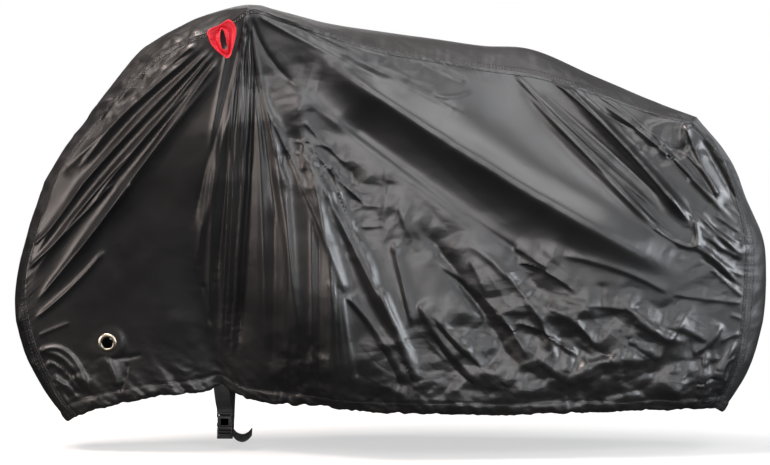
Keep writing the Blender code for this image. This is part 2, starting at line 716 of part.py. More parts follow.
def behind_hem(panel, side, x):
    """The Y at which webbing lies against the inside of a panel's hem."""
    tree = world_tree(panel)[1]
    reaches = []
    for z in np.linspace(SEWN_LOW, SEWN_TOP, 7):
        for start_x in np.linspace(x - WEB_WIDTH / 2, x + WEB_WIDTH / 2, 13):
            reaches.append(tree.ray_cast(Vector((start_x, 0.0, z)), Vector((0.0, side, 0.0)))[3])
    return side * (min(reaches) - SEAT_GAP - WEB_THICK / 2)


def make_strap(near, far, webbing, plastic, collection):
    """Webbing from hem to hem under the wheel, closed by a buckle on the near side."""
    across = (1.0, 0.0, 0.0)
    near_x, far_x = STRAP_X - 0.006, STRAP_X + 0.004
    near_y, far_y = behind_hem(near, -1.0, near_x), behind_hem(far, 1.0, far_x)
    web_strip(
        "strap_near",
        (
            (near_x, near_y, SEWN_TOP, across),
            (near_x, near_y, SEWN_LOW, across),
            (STRAP_X - 0.004, near_y + 0.008, -0.950, across),
            (STRAP_X - 0.002, -0.042, -0.974, across),
            (STRAP_X, BUCKLE_Y, BUCKLE_TOP + 0.008, across),
            (STRAP_X, BUCKLE_Y, BUCKLE_TOP + SEAT_GAP, across),
        ),
        webbing,
        collection,
    )
    web_strip(
        "strap_far",
        (
            (far_x, far_y, SEWN_TOP, across),
            (far_x, far_y, SEWN_LOW, across),
            (far_x, far_y - 0.008, -0.955, across),
            (STRAP_X + 0.003, 0.047, -0.990, across),
            (STRAP_X + 0.002, 0.036, -1.025, across),
            (STRAP_X + 0.001, 0.020, -1.050, across),
            (STRAP_X, 0.000, -1.060, across),
            (STRAP_X, -0.022, -1.0620, across),
            (STRAP_X, BUCKLE_Y, -1.0600, across),
            (STRAP_X, BUCKLE_Y, BUCKLE_FOOT - SEAT_GAP, across),
        ),
        webbing,
        collection,
    )
    half = BUCKLE_WIDTH / 2
    make_block(
        "buckle_socket",
        (STRAP_X - half, BUCKLE_Y - BUCKLE_THICK / 2, BUCKLE_SPLIT),
        (STRAP_X + half, BUCKLE_Y + BUCKLE_THICK / 2, BUCKLE_TOP),
        0.0025,
        plastic,
        collection,
    )
    make_block(
        "buckle_plug",
        (STRAP_X - half, BUCKLE_Y - BUCKLE_THICK / 2, BUCKLE_FOOT),
        (STRAP_X + half, BUCKLE_Y + BUCKLE_THICK / 2, BUCKLE_SPLIT - SEAT_GAP),
        0.0025,
        plastic,
        collection,
    )


def make_tail(webbing, collection):
    start_x = STRAP_X + BUCKLE_WIDTH / 2 + SEAT_GAP + WEB_THICK / 2
    return web_strip(
        "strap_tail",
        (
            (start_x, BUCKLE_Y, BUCKLE_FOOT + 0.008, (0.0, 1.0, 0.35)),
            (start_x + 0.010, BUCKLE_Y - 0.001, BUCKLE_FOOT - 0.002, (0.0, 1.0, 0.38)),
            (start_x + 0.024, BUCKLE_Y - 0.002, BUCKLE_FOOT - 0.006, (0.0, 1.0, 0.40)),
            (start_x + 0.038, BUCKLE_Y - 0.003, BUCKLE_FOOT + 0.000, (0.0, 1.0, 0.40)),
            (start_x + 0.047, BUCKLE_Y - 0.004, BUCKLE_FOOT + 0.010, (0.0, 1.0, 0.40)),
        ),
        webbing,
        collection,
    )


def main():
    clear_scene()
    parts = make_collection(COVER_NAME)
    cutters = make_collection("cutters")
    nylon = make_material("black coated nylon", (0.020, 0.020, 0.023), 0.42)
    brass = make_material("plated brass", (0.62, 0.56, 0.44), 0.28, 1.0)
    red = make_material("red webbing", (0.62, 0.02, 0.035), 0.6)
    webbing = make_material("black webbing", (0.012, 0.011, 0.011), 0.75)
    plastic = make_material("black plastic", (0.015, 0.015, 0.017), 0.35)

    sheet, way_in = thinned_sheet()
    near = cloth_piece("near_panel", NEAR_PANEL, sheet, way_in, nylon, parts)
    cloth_piece("front_strip", FRONT_STRIP, sheet, way_in, nylon, parts)
    cloth_piece("top_strip", TOP_STRIP, sheet, way_in, nylon, parts)
    far = cloth_piece("far_panel", FAR_PANEL, sheet, way_in, nylon, parts)
    bpy.data.meshes.remove(sheet)
    cut_eyelet_hole(near, -1.0, cutters)
    cut_eyelet_hole(far, 1.0, cutters)
    make_eyelet("near_eyelet", -1.0, brass, parts)
    make_eyelet("far_eyelet", 1.0, brass, parts)

    loop = make_loop(red, parts)
    seat_on(loop, near, (0.0, 1.0, 0.0))
    make_strap(near, far, webbing, plastic, parts)
    make_tail(webbing, parts)


main()
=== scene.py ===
"""The finished look of a fitted bicycle cover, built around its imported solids.

The cover is four pieces of coated nylon: two side panels and a centre strip in two lengths. It has
an eyelet in each panel, a red hanging loop in the near front seam and a buckled strap under the
front wheel. Metres, +Z up, +X to the rear, -Y the near side, the origin under the crown.
"""

import math
from collections import namedtuple

import bmesh
import bpy
import numpy as np
from mathutils import Matrix, Vector


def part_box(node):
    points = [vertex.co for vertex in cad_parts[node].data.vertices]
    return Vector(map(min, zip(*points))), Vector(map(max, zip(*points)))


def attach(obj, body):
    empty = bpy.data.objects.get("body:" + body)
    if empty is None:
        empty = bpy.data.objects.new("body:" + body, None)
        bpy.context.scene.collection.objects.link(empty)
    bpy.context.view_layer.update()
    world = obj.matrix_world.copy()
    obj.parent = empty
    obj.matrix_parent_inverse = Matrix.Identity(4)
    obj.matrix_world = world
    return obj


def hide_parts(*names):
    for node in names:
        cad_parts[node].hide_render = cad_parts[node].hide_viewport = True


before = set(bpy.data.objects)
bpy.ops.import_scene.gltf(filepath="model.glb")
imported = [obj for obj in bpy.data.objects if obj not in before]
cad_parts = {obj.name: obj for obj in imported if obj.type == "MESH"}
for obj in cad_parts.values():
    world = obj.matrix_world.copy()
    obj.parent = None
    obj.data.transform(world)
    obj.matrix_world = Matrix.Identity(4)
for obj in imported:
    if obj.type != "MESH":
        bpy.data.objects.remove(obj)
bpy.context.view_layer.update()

bl_info = {
    "name": "Bicycle Cover",
    "version": (1, 0, 0),
    "blender": (4, 5, 0),
    "location": "View3D > Sidebar > Cover",
    "description": "Builds a fitted nylon bicycle cover with its eyelets, loop and strap",
    "category": "Object",
}

BODY = "root"

# ---- Shape of the cover ----


def in_metres(kind, lengths, *rows):
    """Rows of one kind, whose first columns are this many lengths in millimetres."""
    return tuple(kind(*(size / 1000 for size in row[:lengths]), *row[lengths:]) for row in rows)


Section = namedtuple("Section", "ridge_x ridge_z seam_x seam_z half_width")
RIDGE_X, RIDGE_Z, SEAM_X, SEAM_Z, HALF_WIDTH = range(5)

# The strips, from the front hem over the top to the rear hem. The ridge is their middle line, and
# the seams lie at plus and minus the half width. The two lengths meet at the crown.
# Columns: ridge_x, ridge_z, seam_x, seam_z, half_width
FRONT_SECTIONS = in_metres(
    Section, 5,
    (-452, -1020, -434, -1006, 50),
    (-485, -982, -463, -973, 55),
    (-530, -911, -504, -897, 60),
    (-566, -828, -537, -817, 65),
    (-582, -723, -551, -716, 70),
    (-571, -637, -543, -636, 74),
    (-539, -529, -513, -533, 82),
    (-507, -431, -481, -436, 92),
)
TOP_SECTIONS = (
    FRONT_SECTIONS[-1],
    *in_metres(
        Section, 5,
        (-458, -350, -431, -355, 108),
        (-405, -282, -371, -282, 128),
        (-321, -169, -279, -180, 160),
        (-260, -103, -210, -120, 195),
        (-157, -44, -136, -78, 235),
        (-74, -12, -54, -50, 262),
        (-3, 2.2, 9, -9, 275),
        (78, -15, 79, -28, 262),
        (169, -39, 169, -57, 235),
        (323, -64, 323, -105, 185),
        (448, -81, 446, -127, 150),
        (568, -98, 564, -149, 130),
        (678, -105, 673, -164, 118),
        (840, -172, 823, -205, 112),
        (1002, -240, 981, -259, 106),
        (1090, -272, 1071, -281, 100),
    ),
)
REAR_SECTIONS = (
    TOP_SECTIONS[-1],
    *in_metres(
        Section, 5,
        (1159, -355, 1134, -349, 92),
        (1217, -480, 1189, -473, 84),
        (1257, -576, 1213, -577, 80),
        (1264, -674, 1211, -672, 78),
        (1254, -789, 1202, -789, 74),
        (1217, -904, 1181, -897, 66),
        (1159, -997, 1138, -983, 55),
    ),
)

CROWN = max(TOP_SECTIONS, key=lambda row: row.ridge_z)

# Lines at a panel's edges are arrays of these three columns
HemPoint = namedtuple("HemPoint", "x z half_width")
X, Z, OUT = range(3)

HEM = in_metres(
    HemPoint, 3,
    (-434, -1006, 50),
    (-376, -984, 70),
    (-288, -962, 85),
    (-205, -947, 90),
    (-109, -939, 80),
    (-63, -928, 68),
    (-23, -950, 85),
    (38, -962, 110),
    (148, -964, 150),
    (244, -972, 180),
    (445, -979, 205),
    (622, -983, 190),
    (741, -981, 165),
    (860, -982, 140),
    (980, -981, 110),
    (1068, -982, 80),
    (1138, -983, 55),
)

Fullness = namedtuple("Fullness", "along low middle high")

# Half width of the hanging cloth a quarter, half and three quarters of the way up, at stations
# along the panel from its front seam (0) to its rear seam (1).
FULLNESS = (
    Fullness(0.08, 0.095, 0.112, 0.124),
    Fullness(0.18, 0.122, 0.152, 0.184),
    Fullness(0.28, 0.128, 0.186, 0.236),
    Fullness(0.36, 0.212, 0.225, 0.228),
    Fullness(0.46, 0.238, 0.238, 0.224),
    Fullness(0.58, 0.222, 0.220, 0.198),
    Fullness(0.70, 0.208, 0.196, 0.164),
    Fullness(0.82, 0.178, 0.168, 0.140),
    Fullness(0.92, 0.124, 0.128, 0.116),
)

Fold = namedtuple(
    "Fold", "x0 z0 x1 z1 x2 z2 height wide0 wide1 under both", defaults=(1.0, False)
)

# Folds run from point 0 past point 1 to point 2. Height is how far they stand out (in, if
# negative), wide0 and wide1 their half widths at the two ends, and under the half width of the
# lower side against that of the upper one. Folds are only in the near panel, unless both is true.
# Columns: x0, z0, x1, z1, x2, z2, height, wide0, wide1, under, both
FOLDS = in_metres(
    Fold, 9,
    # tension ridges from the loop down to the front seam
    (-90, -85, -265, -230, -470, -420, 13, 8, 12, 1, True),
    (-85, -105, -350, -370, -540, -635, 13, 8, 10, 1, True),
    (-55, -125, -350, -425, -535, -670, 13, 8, 11, 1, True),
    (-45, -130, -265, -400, -490, -700, 17, 9, 17, 1, True),
    # upright folds from the handlebar down to the strap
    (-65, -250, -90, -565, -100, -855, 8, 9, 9),
    (-30, -165, -45, -430, -75, -905, 13, 7, 8, 1, True),
    (-5, -130, -20, -430, -55, -895, 14, 7, 8, 1, True),
    (20, -135, 35, -470, 35, -925, 9, 10, 16, 1, True),
    (35, -155, 95, -550, 125, -930, 12, 14, 22),
    (105, -250, 190, -565, 220, -940, 12, 16, 22, 1, True),
    (140, -325, 250, -565, 435, -930, 17, 16, 20, 1, True),
    # the long ridge to the rear, which hangs over, and the folds below it
    (46, -26, 580, -385, 1100, -675, 46, 58, 65, 0.95, True),
    (35, -135, 410, -420, 860, -700, 5, 16, 22, 1, True),
    (400, -510, 545, -710, 675, -920, -17, 20, 30, 1, True),
    (495, -545, 675, -710, 750, -920, 10, 14, 16),
    (415, -705, 525, -830, 625, -925, 12, 14, 16),
    # folds from the saddle towards the rear wheel
    (710, -140, 950, -380, 1075, -545, 28, 9, 13, 1.9, True),
    (635, -180, 840, -385, 1015, -570, 20, 9, 12, 1.7, True),
    (805, -205, 1005, -355, 1195, -550, 11, 8, 12),
    # the rack's corner and the cloth behind it
    (1055, -285, 1055, -315, 1050, -355, 8, 8, 10),
    (1085, -305, 1145, -410, 1195, -495, -9, 9, 11, 1, True),
    (1070, -565, 1130, -615, 1195, -690, 9, 9, 10),
    (1060, -480, 1135, -550, 1205, -615, 9, 9, 9),
    # crushed cloth low down towards the rear
    (690, -710, 785, -760, 855, -850, 11, 13, 14),
    (885, -690, 975, -780, 1065, -815, 11, 13, 14),
    (750, -915, 855, -855, 975, -865, 11, 14, 13),
    (940, -935, 1000, -830, 1085, -710, 8, 14, 13),
    # gathers at the front and rear ends of the hem
    (-525, -845, -450, -865, -395, -955, 9, 8, 8, 1, True),
    (-500, -910, -450, -925, -425, -970, 7, 7, 7),
    (1110, -815, 1100, -890, 1095, -955, 9, 10, 8, 1, True),
    (1185, -815, 1150, -875, 1120, -960, 7, 8, 7),
)
FAR_SHARE = 0.75
FOLD_SAMPLES = 40
FOLD_TAPER = 0.30
FINE_TAPER = 0.12
FOLD_CREST = 0.12
FOLD_FALL = 1.5
FOLD_REACH = 5  # half widths within which a fold is worked out

# Finer folds, which only the cloth itself shows
FINE_FOLDS = in_metres(
    Fold, 9,
    # tension ridges from the loop to the front seam, and thinner ones between them
    (-116, -89, -236, -189, -420, -403, 10, 5, 9, 1.6, True),
    (-82, -101, -233, -252, -451, -480, 9, 4, 6, 1, True),
    (-75, -108, -197, -257, -403, -504, 8, 3.5, 5, 1, True),
    (-63, -122, -212, -324, -427, -616, 11, 4, 7, 1.4, True),
    (-394, -420, -475, -528, -528, -580, 6, 4, 5),
    (-322, -420, -427, -530, -545, -643, 8, 4, 5, 1, True),
    (-276, -420, -358, -523, -523, -722, 9, 5, 6, 1, True),
    (-348, -587, -425, -674, -528, -763, 6, 6, 6),
    (-437, -770, -473, -784, -518, -803, 3, 4, 4),
    # upright folds
    (-3, -26, -58, -240, -140, -540, -5, 3, 10),
    (-5, -31, -44, -264, -116, -564, 5, 3, 9),
    (-1, -24, -29, -252, -87, -707, -7, 3, 8, 1, True),
    (2, -22, -20, -252, -60, -866, 9, 3, 5, 1, True),
    (4, -22, -8, -276, -53, -870, -9, 3, 4, 1, True),
    (4, -22, -1, -276, -46, -875, 9, 3, 5, 1, True),
    (7, -26, 9, -324, -32, -870, -9, 3, 6, 1, True),
    (-24, -41, -72, -252, -130, -671, 5, 5, 12),
    (-113, -671, -104, -707, -96, -779, -4, 4, 6),
    (9, -36, 43, -228, 105, -468, 6, 3, 9, 1, True),
    (9, -46, 33, -252, 76, -540, -6, 3, 9),
    (62, -480, 64, -683, 57, -875, -4, 9, 12),
    (91, -420, 100, -635, 86, -899, 4, 8, 12),
    (151, -480, 155, -707, 151, -928, 4, 4, 6),
    (170, -535, 170, -731, 172, -935, -6, 6, 8, 1, True),
    (196, -647, 199, -755, 196, -923, 4, 4, 6),
    (213, -650, 215, -755, 222, -863, -5, 3, 4),
    (227, -688, 237, -779, 261, -933, 4, 4, 5),
    # the smooth band beside the upright folds, on a broad swell
    (100, -156, 187, -564, 232, -938, 28, 55, 60, 2.8, True),
    (33, -209, 170, -518, 232, -686, 7, 14, 18, 0.3, True),
    (232, -686, 304, -775, 383, -909, 8, 16, 18, 0.3, True),
    (194, -372, 239, -492, 311, -664, 7, 12, 14, 0.35, True),
    (311, -664, 354, -775, 402, -899, 8, 14, 16, 0.3, True),
    # folds fanning from the crown
    (28, -22, 136, -82, 340, -180, 4, 6, 10, 1, True),
    (43, -17, 220, -103, 532, -266, -7, 6, 12, 1, True),
    (14, -26, 47, -113, 124, -199, -4, 4, 8, 1, True),
    (398, -120, 460, -153, 527, -185, -4, 5, 6),
    (438, -213, 484, -218, 537, -206, 2.5, 3, 3),
    # crushed folds above the band
    (134, -271, 184, -329, 244, -384, 4.8, 10.8, 13.5, 0.3, True),
    (131, -312, 172, -331, 211, -341, 4, 8.1, 10.8, 0.4),
    (131, -314, 131, -352, 131, -396, 4.8, 13.5, 13.5, 0.3),
    (143, -324, 220, -415, 287, -477, 7.2, 13.5, 16.2, 0.3, True),
    (244, -384, 261, -432, 285, -472, -3.2, 8.1, 8.1),
    (328, -384, 328, -456, 323, -520, 2.4, 16.2, 16.2, 0.3),
    (249, -489, 282, -477, 316, -482, 2.4, 10.8, 10.8, 0.4),
    (258, -520, 292, -528, 330, -520, 2.4, 10.8, 10.8, 0.4),
    (359, -475, 381, -535, 410, -592, 2.4, 13.5, 13.5, 0.4),
    (345, -556, 369, -659, 395, -767, 6.4, 14.9, 14.9, 0.35, True),
    # the fold that runs down to the hem, and the dark hollow beside it
    (407, -705, 465, -806, 556, -904, 7.2, 18.9, 24.3, 0.35, True),
    (441, -739, 508, -825, 645, -930, -4, 6.7, 9.5),
    (445, -791, 493, -863, 546, -906, -3.2, 5.4, 6.7),
    (445, -607, 580, -719, 673, -851, 8.8, 17.5, 18.9, 0.35, True),
    (386, -880, 431, -885, 477, -878, 2.4, 10.8, 10.8, 0.4),
    (529, -607, 551, -650, 575, -698, 2.4, 13.5, 13.5, 0.4),
    (594, -734, 616, -758, 640, -787, 4, 10.8, 10.8, 0.4),
    (633, -578, 676, -604, 721, -631, 4.8, 13.5, 16.2, 0.3, True),
    (645, -614, 716, -640, 793, -693, 5.6, 16.2, 18.9, 0.3),
    (637, -758, 712, -787, 786, -842, 7.2, 18.9, 18.9, 0.3),
    (697, -849, 736, -878, 793, -904, 5.6, 10.8, 13.5, 0.4),
    (661, -890, 700, -887, 743, -880, 2.4, 10.8, 10.8, 0.4),
    (592, -729, 628, -731, 671, -739, 3.2, 13.5, 16.2, 0.5),
    # the hollow under the long ridge
    (215, -266, 445, -441, 704, -626, -13, 52, 58, 0.35, True),
    # creases low down at the rear
    (748, -597, 892, -635, 1014, -695, 3.2, 13.5, 16.2, 0.35, True),
    (1014, -695, 1119, -712, 1198, -724, 2.4, 10.8, 10.8, 0.4),
    (848, -659, 848, -731, 844, -813, -3.2, 13.5, 13.5),
    (748, -703, 844, -722, 935, -736, 4, 16.2, 16.2, 0.3),
    (913, -791, 906, -839, 894, -894, -3.2, 13.5, 13.5),
    (927, -760, 959, -775, 987, -789, 3.2, 10.8, 10.8, 0.4),
    (999, -772, 1059, -787, 1110, -818, 4, 13.5, 13.5, 0.35),
    (913, -803, 951, -827, 995, -856, 4.8, 13.5, 13.5, 0.35),
    (1071, -842, 1112, -820, 1148, -770, 5.6, 16.2, 16.2, 0.4),
    (1107, -856, 1110, -911, 1107, -966, 6.4, 5.4, 5.4, 4, True),
    (784, -779, 820, -815, 880, -856, -4.8, 8.1, 9.5),
    (748, -815, 784, -832, 820, -880, 4, 13.5, 13.5, 0.4),
    # folds behind the saddle
    (633, -158, 788, -317, 987, -496, 8, 4, 5, 0.7, True),
    (1021, -564, 1079, -576, 1071, -506, 9, 8, 8, 1, True),
    (1050, -276, 1088, -372, 1141, -477, 8, 34, 26, 0.2, True),
    (959, -293, 1007, -281, 1057, -278, 3, 8, 8, 2, True),
    (963, -338, 1007, -345, 1050, -352, -3, 8, 8),
    (664, -213, 820, -372, 1035, -559, -4, 5, 6, 1, True),
    (695, -199, 844, -329, 997, -468, -3, 5, 6, 1, True),
    (714, -168, 863, -297, 1064, -525, 8, 3, 4, 0.8, True),
    (973, -530, 1004, -554, 1040, -573, 4, 4, 4, 0.7),
    (728, -158, 904, -259, 1083, -420, 6, 4, 5, 0.8, True),
    (1007, -357, 1035, -388, 1069, -424, -8, 3, 4),
    (844, -252, 892, -281, 939, -300, -4, 4, 6),
    (1004, -444, 1083, -523, 1155, -602, 5, 6, 8, 0.8, True),
    (1047, -348, 1103, -408, 1136, -460, 5, 6, 7),
    # folds into the rear seam
    (1071, -578, 1131, -616, 1201, -659, 3.2, 4, 5, 1, True),
    (1091, -607, 1143, -647, 1198, -688, -2.6, 4, 4),
    (1083, -544, 1141, -583, 1198, -616, 2.6, 4, 4),
    (1112, -520, 1155, -554, 1203, -580, -2.6, 4, 4),
    (1122, -504, 1162, -530, 1206, -564, 2.6, 4, 4),
    (1112, -631, 1155, -669, 1198, -707, 2.6, 4, 4),
    (1150, -480, 1179, -501, 1203, -525, 2.3, 3, 4),
    (1167, -751, 1182, -755, 1198, -763, 2, 4, 4),
    (1143, -815, 1167, -803, 1196, -799, 2.6, 5, 5),
    (1136, -887, 1160, -866, 1184, -856, 2.6, 5, 5),
    # gathers at the front end of the hem
    (-521, -846, -447, -844, -394, -945, 8, 5, 6, 1, True),
    (-499, -866, -456, -892, -418, -945, 6, 4, 5, 1, True),
    (-483, -897, -461, -923, -437, -954, 5, 4, 4),
    (-509, -880, -475, -928, -447, -971, 4, 4, 4),
    # the pocket under the eyelet
    (-372, -844, -327, -856, -259, -846, -5, 6, 6),
    (-355, -846, -336, -885, -327, -928, 11, 14, 12, 0.5),
    (-300, -866, -307, -909, -322, -942, -5, 4, 5),
)


Crush = namedtuple("Crush", "x z reach_x reach_z depth pitch angle stretch both")

# Zones of crushed cloth. Each is an ellipse about a point, in which the cloth is creased to a
# depth, with creases a pitch apart that run at an angle in degrees and are stretch times as long.
# Columns: x, z, reach_x, reach_z, depth, pitch, angle, stretch, both
CRUSHES = in_metres(
    Crush, 6,
    (-455, -360, 60, 60, 5, 40, 48, 1.6, True),
    (-370, -262, 65, 65, 6.5, 44, 48, 1.6, True),
    (-285, -178, 65, 60, 6.5, 44, 40, 1.6, True),
    (-200, -108, 60, 45, 4.5, 40, 30, 1.6, True),
    (-460, -920, 130, 100, 5, 35, 120, 2.0, True),
    (70, -170, 140, 100, 1.6, 40, -55, 1.8, True),
    (200, -340, 180, 140, 7.5, 60, -50, 1.8, False),
    (140, -880, 120, 100, 4, 32, 10, 1.6, False),
    (380, -470, 260, 150, 8.5, 70, -42, 1.7, True),
    (320, -160, 300, 70, 3, 60, -15, 2.4, True),
    (600, -360, 240, 140, 1.8, 80, -35, 3.0, False),
    (660, -760, 260, 200, 11, 75, -48, 1.6, True),
    (900, -820, 260, 160, 11, 65, -25, 1.5, True),
    (420, -840, 200, 130, 7.5, 65, -62, 1.8, True),
    (1080, -900, 100, 100, 6, 35, -70, 2.0, True),
    (1120, -600, 120, 160, 2.5, 30, -25, 3.0, True),
    (1000, -330, 140, 80, 3.5, 40, -20, 1.6, True),
    (780, -915, 420, 60, 10, 55, -35, 1.6, True),
    (320, -925, 260, 50, 7, 45, -60, 1.6, True),
)
# Bands of cloth drawn so tight that it is plain, as folds whose height is the share of creases lost
PLAINS = (
    Fold(0.160, -0.180, 0.400, -0.370, 0.700, -0.550, 1.0, 0.075, 0.085, 1, True),
    Fold(-0.120, -0.300, -0.200, -0.560, -0.240, -0.760, 1.0, 0.200, 0.200, 1, True),
    Fold(0.480, -0.200, 0.700, -0.330, 0.960, -0.520, 0.9, 0.090, 0.060, 1, True),
)
EVERYWHERE = Crush(0.33, -0.55, 9.0, 9.0, 0.0015, 0.090, -40, 1.8, True)
OCTAVES = 3
OCTAVE_STEP = 1.7
OCTAVE_KEEP = 0.5
OCTAVE_TURN = 37  # degrees by which each finer octave is turned
CREASE_BEND = 0.30
BEND_SCALE = 0.7
BEND_APART = 9.0  # from the noise that bends creases one way to that for the other
BEND_SEED = 20
TURNED_SEED = 30
ZONE_RAGGED = 0.25
ZONE_RAGGED_PITCH = 0.09
ZONE_CORE = 0.45  # share of a zone's reach with creases of full depth
ZONE_FADE = 0.6
FULLY_CRUSHED = 0.007  # depth of creases that counts as fully crushed
PLAIN_GAIN = 1.6

# How deep the strips are creased, along X
StripCrush = namedtuple("StripCrush", "x depth")
STRIP_CRUSHES = in_metres(
    StripCrush, 2,
    (-600, 3.2),
    (-450, 5.6),
    (-300, 6.6),
    (-150, 6.0),
    (0, 3.0),
    (200, 1.8),
    (550, 1.8),
    (800, 3.0),
    (1000, 4.5),
    (1100, 3.0),
    (1300, 2.2),
)
STRIP_PITCH = 0.042
STRIP_ANGLE = 65
STRIP_STRETCH = 1.6
STRIP_CALM = 0.05  # share of the creases along the strips' middle line
STRIP_CALM_TO = 0.8  # share of the half width at which they have their full depth
LONG_PITCH = 0.035  # of the long folds that run down the strips
LONG_ANGLE = 8
LONG_STRETCH = 5.0
LONG_SHARE = 0.35

CELLS_ALONG = 446
CELLS_UP = 208
HEM_ROWS = 14
HEM_SHARE = 0.05
CELLS_ACROSS = 76
TURNED_ROWS = 7  # of cloth turned in at the hem
TURNED_GAP = 0.0012
FOLD_OUT = 0.4  # how far the turned edge lies past the hem, as a share of a cell
STRIP_ARCH = 2.4
SEAM_CALM = 0.02
SEAM_LEAST = 0.03  # least half width for which the seams' calm is worked out
NOISE_CELLS = 64
NOISE_GAIN = 1.5

# Hem band and its gathers
HEM_BAND = 0.027
HEM_SWELL = 0.0025
HEM_EDGE = 0.006
HEM_STITCH_DEPTH = 0.0018
HEM_STITCH_WIDTH = 0.004
HEM_RIPPLE = 0.003  # how far the hem's edge runs up and down
HEM_RIPPLE_REACH = 0.02
HEM_RIPPLE_LAG = 3  # columns between a gather and its ripple
GATHER_DEPTH = 0.0034
GATHER_PITCH = 0.024
GATHER_REACH = 0.060
GATHER_DRIFT = 1.2
GATHER_DRIFT_OVER = 3  # gathers over which they drift
GATHER_FINE = 2.1  # finer gathers for each coarse one
GATHER_FINE_SHARE = 0.5
SLANT_PITCH = 0.12  # along the hem, of the slant of its gathers
TALL_PITCH = 0.09  # along the hem, of their height
HEM_BILLOW = 0.012
HEM_BILLOW_UP = 0.055
HEM_BILLOW_FROM = 0.05
HEM_BILLOW_FADE = 0.3
HEM_CRUSH = 0.0055
HEM_CRUSH_PITCH = 0.028
HEM_CRUSH_REACH = 0.055
HEM_CRUSH_ANGLE = 78
HEM_CRUSH_STRETCH = 1.5

# Seams
PUCKER_DEPTH = 0.0017
PUCKER_PITCH = 0.015
PUCKER_REACH = 0.020
PUCKER_FINE = 2.3  # finer puckers for each coarse one
PUCKER_FINE_SHARE = 0.6
PUCKER_PATCH = 0.13  # length of seam over which puckers come and go
PUCKER_USUAL, PUCKER_VARIES = 0.6, 0.9

# Seeds of the noise. The far side adds one.
SEED_EVERYWHERE = 5
SEED_ZONES = 100
SEED_STRIPS = 400
SEED_LONG = 420
SEED_GATHERS = 31
SEED_FRONT_HEM = 51
SEED_REAR_HEM = 61
SEED_SLANT = 41
SEED_TALL = 43
SEED_HEM_CRUSH = 45
SEED_PUCKERS = 71
SEED_LOOP = 7
SEED_WEB = 17

# The flat round the eyelets
EYELET_X = -0.347
EYELET_Z = -0.818
EYELET_OUT = 0.100
EYELET_SLOPE_X = 0.20
EYELET_SLOPE_Z = 0.06
EYELET_FLAT = 0.030
EYELET_BLEND = 0.022
EYELET_HOLE = 0.0165
EYELET_CUT = 0.018  # faces with their middle nearer than this are cut out for the hole


MIRROR = (1, -1, 1)  # from one side of the cover to the other


def smooth_step(t):
    t = np.clip(t, 0.0, 1.0)
    return t * t * (3.0 - 2.0 * t)


def smooth_curve(keys, values, at):
    """A smooth curve through values at rising keys, read at the places in at."""
    keys, values, at = (np.asarray(a, float) for a in (keys, values, at))
    slopes = np.gradient(values, keys)
    spot = np.clip(np.searchsorted(keys, at, side="right") - 1, 0, len(keys) - 2)
    step = keys[spot + 1] - keys[spot]
    t = np.clip((at - keys[spot]) / step, 0.0, 1.0)
    return (
        (2 * t**3 - 3 * t**2 + 1) * values[spot]
        + (t**3 - 2 * t**2 + t) * step * slopes[spot]
        + (3 * t**2 - 2 * t**3) * values[spot + 1]
        + (t**3 - t**2) * step * slopes[spot + 1]
    )


def unit(vectors):
    return vectors / np.linalg.norm(vectors, axis=-1, keepdims=True)


def lattice(x, y, seed, low, high):
    """Places inside their cells of one unit, and what gives the chance value at a cell's corner."""
    chance = np.random.default_rng(seed).uniform(low, high, (NOISE_CELLS, NOISE_CELLS))
    cell_x, cell_y = np.floor(x).astype(int), np.floor(y).astype(int)

    def corner(step_x, step_y):
        return chance[(cell_x + step_x) % NOISE_CELLS, (cell_y + step_y) % NOISE_CELLS]

    return x - cell_x, y - cell_y, corner


def noise(x, y, seed):
    """Smooth noise between about -1 and 1, with one lump for each unit of x and y."""
    in_x, in_y, turn_at = lattice(x, y, seed, 0.0, 2 * math.pi)

    def corner(step_x, step_y):
        turn = turn_at(step_x, step_y)
        return np.cos(turn) * (in_x - step_x) + np.sin(turn) * (in_y - step_y)

    share_x, share_y = smooth_step(in_x), smooth_step(in_y)
    low = corner(0, 0) * (1 - share_x) + corner(1, 0) * share_x
    high = corner(0, 1) * (1 - share_x) + corner(1, 1) * share_x
    return NOISE_GAIN * (low * (1 - share_y) + high * share_y)


def facets(x, y, seed):
    """Noise between -1 and 1 that is flat over triangles about one unit across."""
    in_x, in_y, corner = lattice(x, y, seed, -1.0, 1.0)
    first, last, low, high = corner(0, 0), corner(1, 1), corner(1, 0), corner(0, 1)
    under = first + (low - first) * in_x + (last - low) * in_y
    over = first + (last - high) * in_x + (high - first) * in_y
    return np.where(in_x > in_y, under, over)


def creases(x, y, pitch, angle, stretch, seed):
    """Crushed cloth between about -1 and 1: flat facets that meet in sharp creases.

    The facets are a pitch wide and stretch times as long, and run at an angle in degrees.
    """
    total = np.zeros_like(x)
    for octave in range(OCTAVES):
        turn = math.radians(angle + OCTAVE_TURN * octave)
        size = pitch / OCTAVE_STEP**octave
        along = (x * math.cos(turn) + y * math.sin(turn)) / (size * stretch)
        across = (y * math.cos(turn) - x * math.sin(turn)) / size
        bend_at = along * BEND_SCALE, across * BEND_SCALE
        bend = CREASE_BEND * noise(*bend_at, seed + BEND_SEED + octave)
        apart = bend_at[0] + BEND_APART, bend_at[1]
        turned = CREASE_BEND * noise(*apart, seed + TURNED_SEED + octave)
        total += facets(along + bend, across + turned, seed + octave) * OCTAVE_KEEP**octave
    return total


def read_sections(rows, key, shares):
    """The rows' five columns where one of them is these shares of the way to its last row."""
    table = np.array(rows)
    place = Section._fields.index(key)
    steps = table[0, place] + (table[-1, place] - table[0, place]) * shares
    rising = table if table[-1, place] > table[0, place] else table[::-1]
    return np.stack([smooth_curve(rising[:, place], column, steps) for column in rising.T], 1)


def shares_along():
    return np.linspace(0.0, 1.0, CELLS_ALONG + 1)


